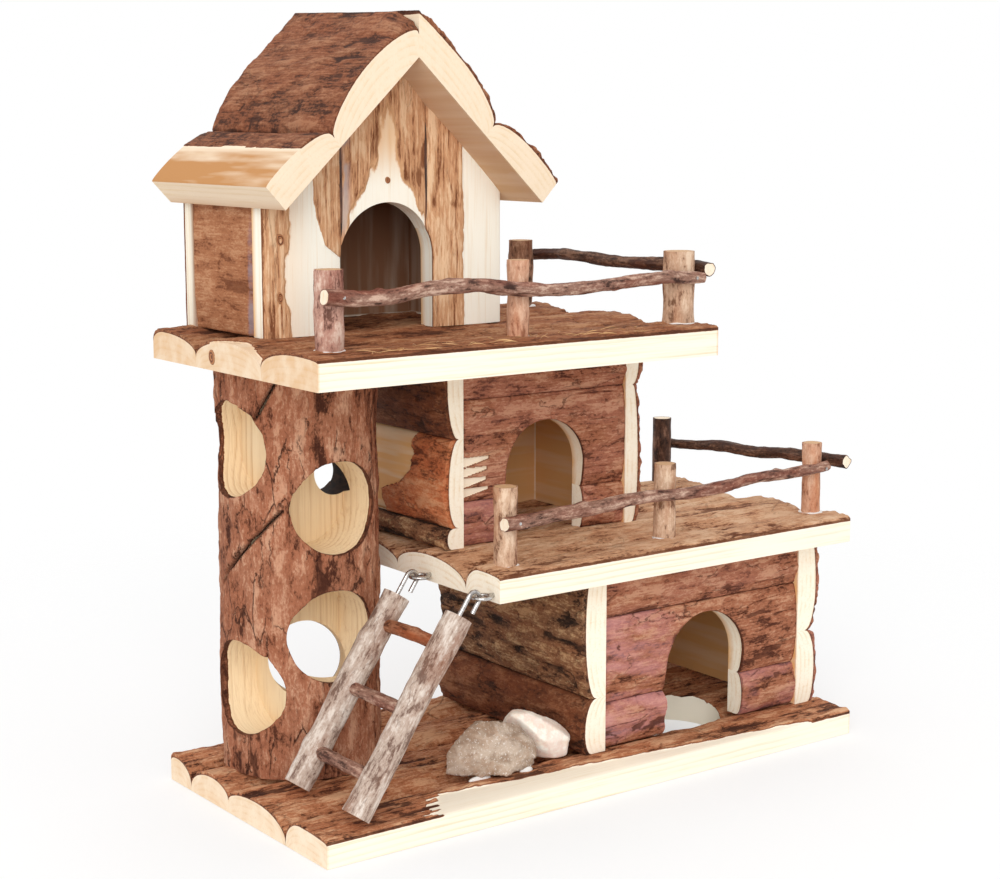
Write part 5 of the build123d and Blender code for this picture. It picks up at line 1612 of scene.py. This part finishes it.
def glue_ring(name, centre, radius, seed, rows=64, columns=14):
    """A torus round a foot: its tube's thickness is 0.3 + 0.75 times a noise round the ring, at least 0.12 mm."""
    angles = [np.linspace(0, 2 * np.pi, count, endpoint=False) for count in (rows, columns)]
    turn, tube = (grid.ravel() for grid in np.meshgrid(*angles, indexing="ij"))
    thick = np.maximum(0.12, 0.3 + 0.75 * noise(at(1.6 * np.cos(turn), 1.6 * np.sin(turn)), seed))
    away = radius + 1.3 * thick * np.cos(tube)
    points = np.array(centre) + at(away * np.cos(turn), away * np.sin(turn), 0.8 * thick * np.sin(tube))
    wrapped = rolled_ids(rows, columns)[1]
    mesh = fill_mesh(name, points, grid_quads(np.concatenate([wrapped, wrapped[:1]])))
    return piece(name, mesh, glue)


for number, post in enumerate(posts):
    low, high = node_box(post.node)
    foot = [(low[0] + high[0]) / 2, (low[1] + high[1]) / 2, low[2] - 0.2]
    glue_ring("glue_" + post.node, foot, (high[0] - low[0]) / 2, RING_SEED + number)


def glue_drop(name, centre, size, seed):
    """A flat drop: height falls as sqrt(1 - r*r) from its middle, its rim pushed in and out by noise."""
    share, turn = disc_grid(12, 40)
    wide = share * (1 + 0.3 * noise(at(1.4 * np.cos(turn), 1.4 * np.sin(turn)), seed))
    over = at(size[0] * wide * np.cos(turn), size[1] * wide * np.sin(turn), size[2] * np.sqrt(1 - share**2))
    under = over[::-1] * np.array([1, 1, 0]) - np.array([0, 0, 0.6])
    return piece(name, disc_mesh(name, over + np.array(centre), under + np.array(centre)), glue)


stone_glue = [((-48.6, -38.2, 10.7), (4.8, 1.3, 1.3)), ((-28.8, -40.6, 10.7), (2.8, 1.5, 1.7))]
for number, (centre, size) in enumerate(stone_glue):
    glue_drop(f"glue_stone_{number + 1}", centre, size, DROP_SEED + number)
print("glue drops:", len(posts) + len(stone_glue))

# %% Wood fibres
FIBRE_COUNT, FIBRE_STEPS = 70, 9
rng = np.random.default_rng(12)
deck_low, deck_high = node_box("top_deck_front")
start_x = rng.uniform(-105, 20, FIBRE_COUNT)
start_y = rng.uniform(deck_low[1] + 0.5, deck_low[1] + 14, FIBRE_COUNT)
start = at(start_x, start_y, deck_high[2] - 0.3)
heading = rng.normal(0.0, 0.45, FIBRE_COUNT) + np.where(rng.random(FIBRE_COUNT) < 0.5, 0, np.pi)
curl = rng.normal(0, 1.1, FIBRE_COUNT)
long = rng.uniform(5, 15, FIBRE_COUNT)
wide = rng.uniform(0.1, 0.22, FIBRE_COUNT)
t = np.linspace(0, 1, FIBRE_STEPS)
angle = heading[:, None] + curl[:, None] * t
run = np.stack([np.cos(angle), np.sin(angle)], axis=-1) * (long / FIBRE_STEPS)[:, None, None]
line = np.cumsum(run, axis=1)
lift = 0.9 * np.sin(np.pi * t) * rng.uniform(0.2, 1.0, FIBRE_COUNT)[:, None]
path = start[:, None] + np.concatenate([line, lift[..., None]], axis=-1)
path[..., 1] = np.maximum(path[..., 1], deck_low[1] - 1.0)
taper = np.sin(np.pi * np.clip(t, 0.04, 0.96)) ** 0.5
corner = np.radians([90, 210, 330])
ring = at(0.0 * corner, np.cos(corner), np.sin(corner))
points = path[:, :, None] + (wide[:, None] * taper)[..., None, None] * ring
ids = np.arange(points.size // 3).reshape(FIBRE_COUNT, FIBRE_STEPS, 3)
wrapped = np.concatenate([ids, ids[:, :, :1]], axis=2)
corners = [wrapped[:, :-1, :-1], wrapped[:, 1:, :-1], wrapped[:, 1:, 1:], wrapped[:, :-1, 1:]]
quads = np.stack(corners, axis=-1).reshape(-1, 4)
fibres = bpy.data.meshes.new("fibres")
faces = quads.tolist() + ids[:, 0, ::-1].tolist() + ids[:, -1].tolist()
fibres.from_pydata((points.reshape(-1, 3) * MM).tolist(), [], faces)
fibre_paint, tree, shader = new_finish("wood_fibre")
shade = speckle(tree, object_place(tree), (120.0,) * 3, 2.0)
dress(tree, shader, mixed(tree, ease(tree, shade, 0.35, 0.65), paint(150, 96, 56), paint(222, 176, 118)))
piece("deck_fibres", fibres, fibre_paint)
print("fibres:", FIBRE_COUNT)

# %% [markdown]
# The ladder's hooks, the screw eyes and the brads keep their CAD shape, because bent wire is just that. They get a
# zinc-plated steel: metallic, a little rough, with dull spots.

# %% Steel wire
steel, tree, shader = new_finish("zinc_wire", {"Metallic": 1.0})
dull = speckle(tree, object_place(tree), (700.0,) * 3, 4.0, 0.6)
dress(tree, shader, mixed(tree, ease(tree, dull, 0.35, 0.7), paint(206, 204, 202), paint(158, 152, 148)))
tree.links.new(times(tree, dull, 0.3, 0.12), shader.inputs["Roughness"])
wire_nodes = ("ladder_hooks", "screw_eyes", "rail_brads")
for node in wire_nodes:
    held = frame["nodes"][node]
    held.data.materials.clear()
    held.data.materials.append(steel)
print("steel nodes:", wire_nodes)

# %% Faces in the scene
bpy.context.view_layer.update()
faces = sum(len(item.data.polygons) for item in bpy.data.objects if item.type == "MESH")
print("faces in the scene:", faces)
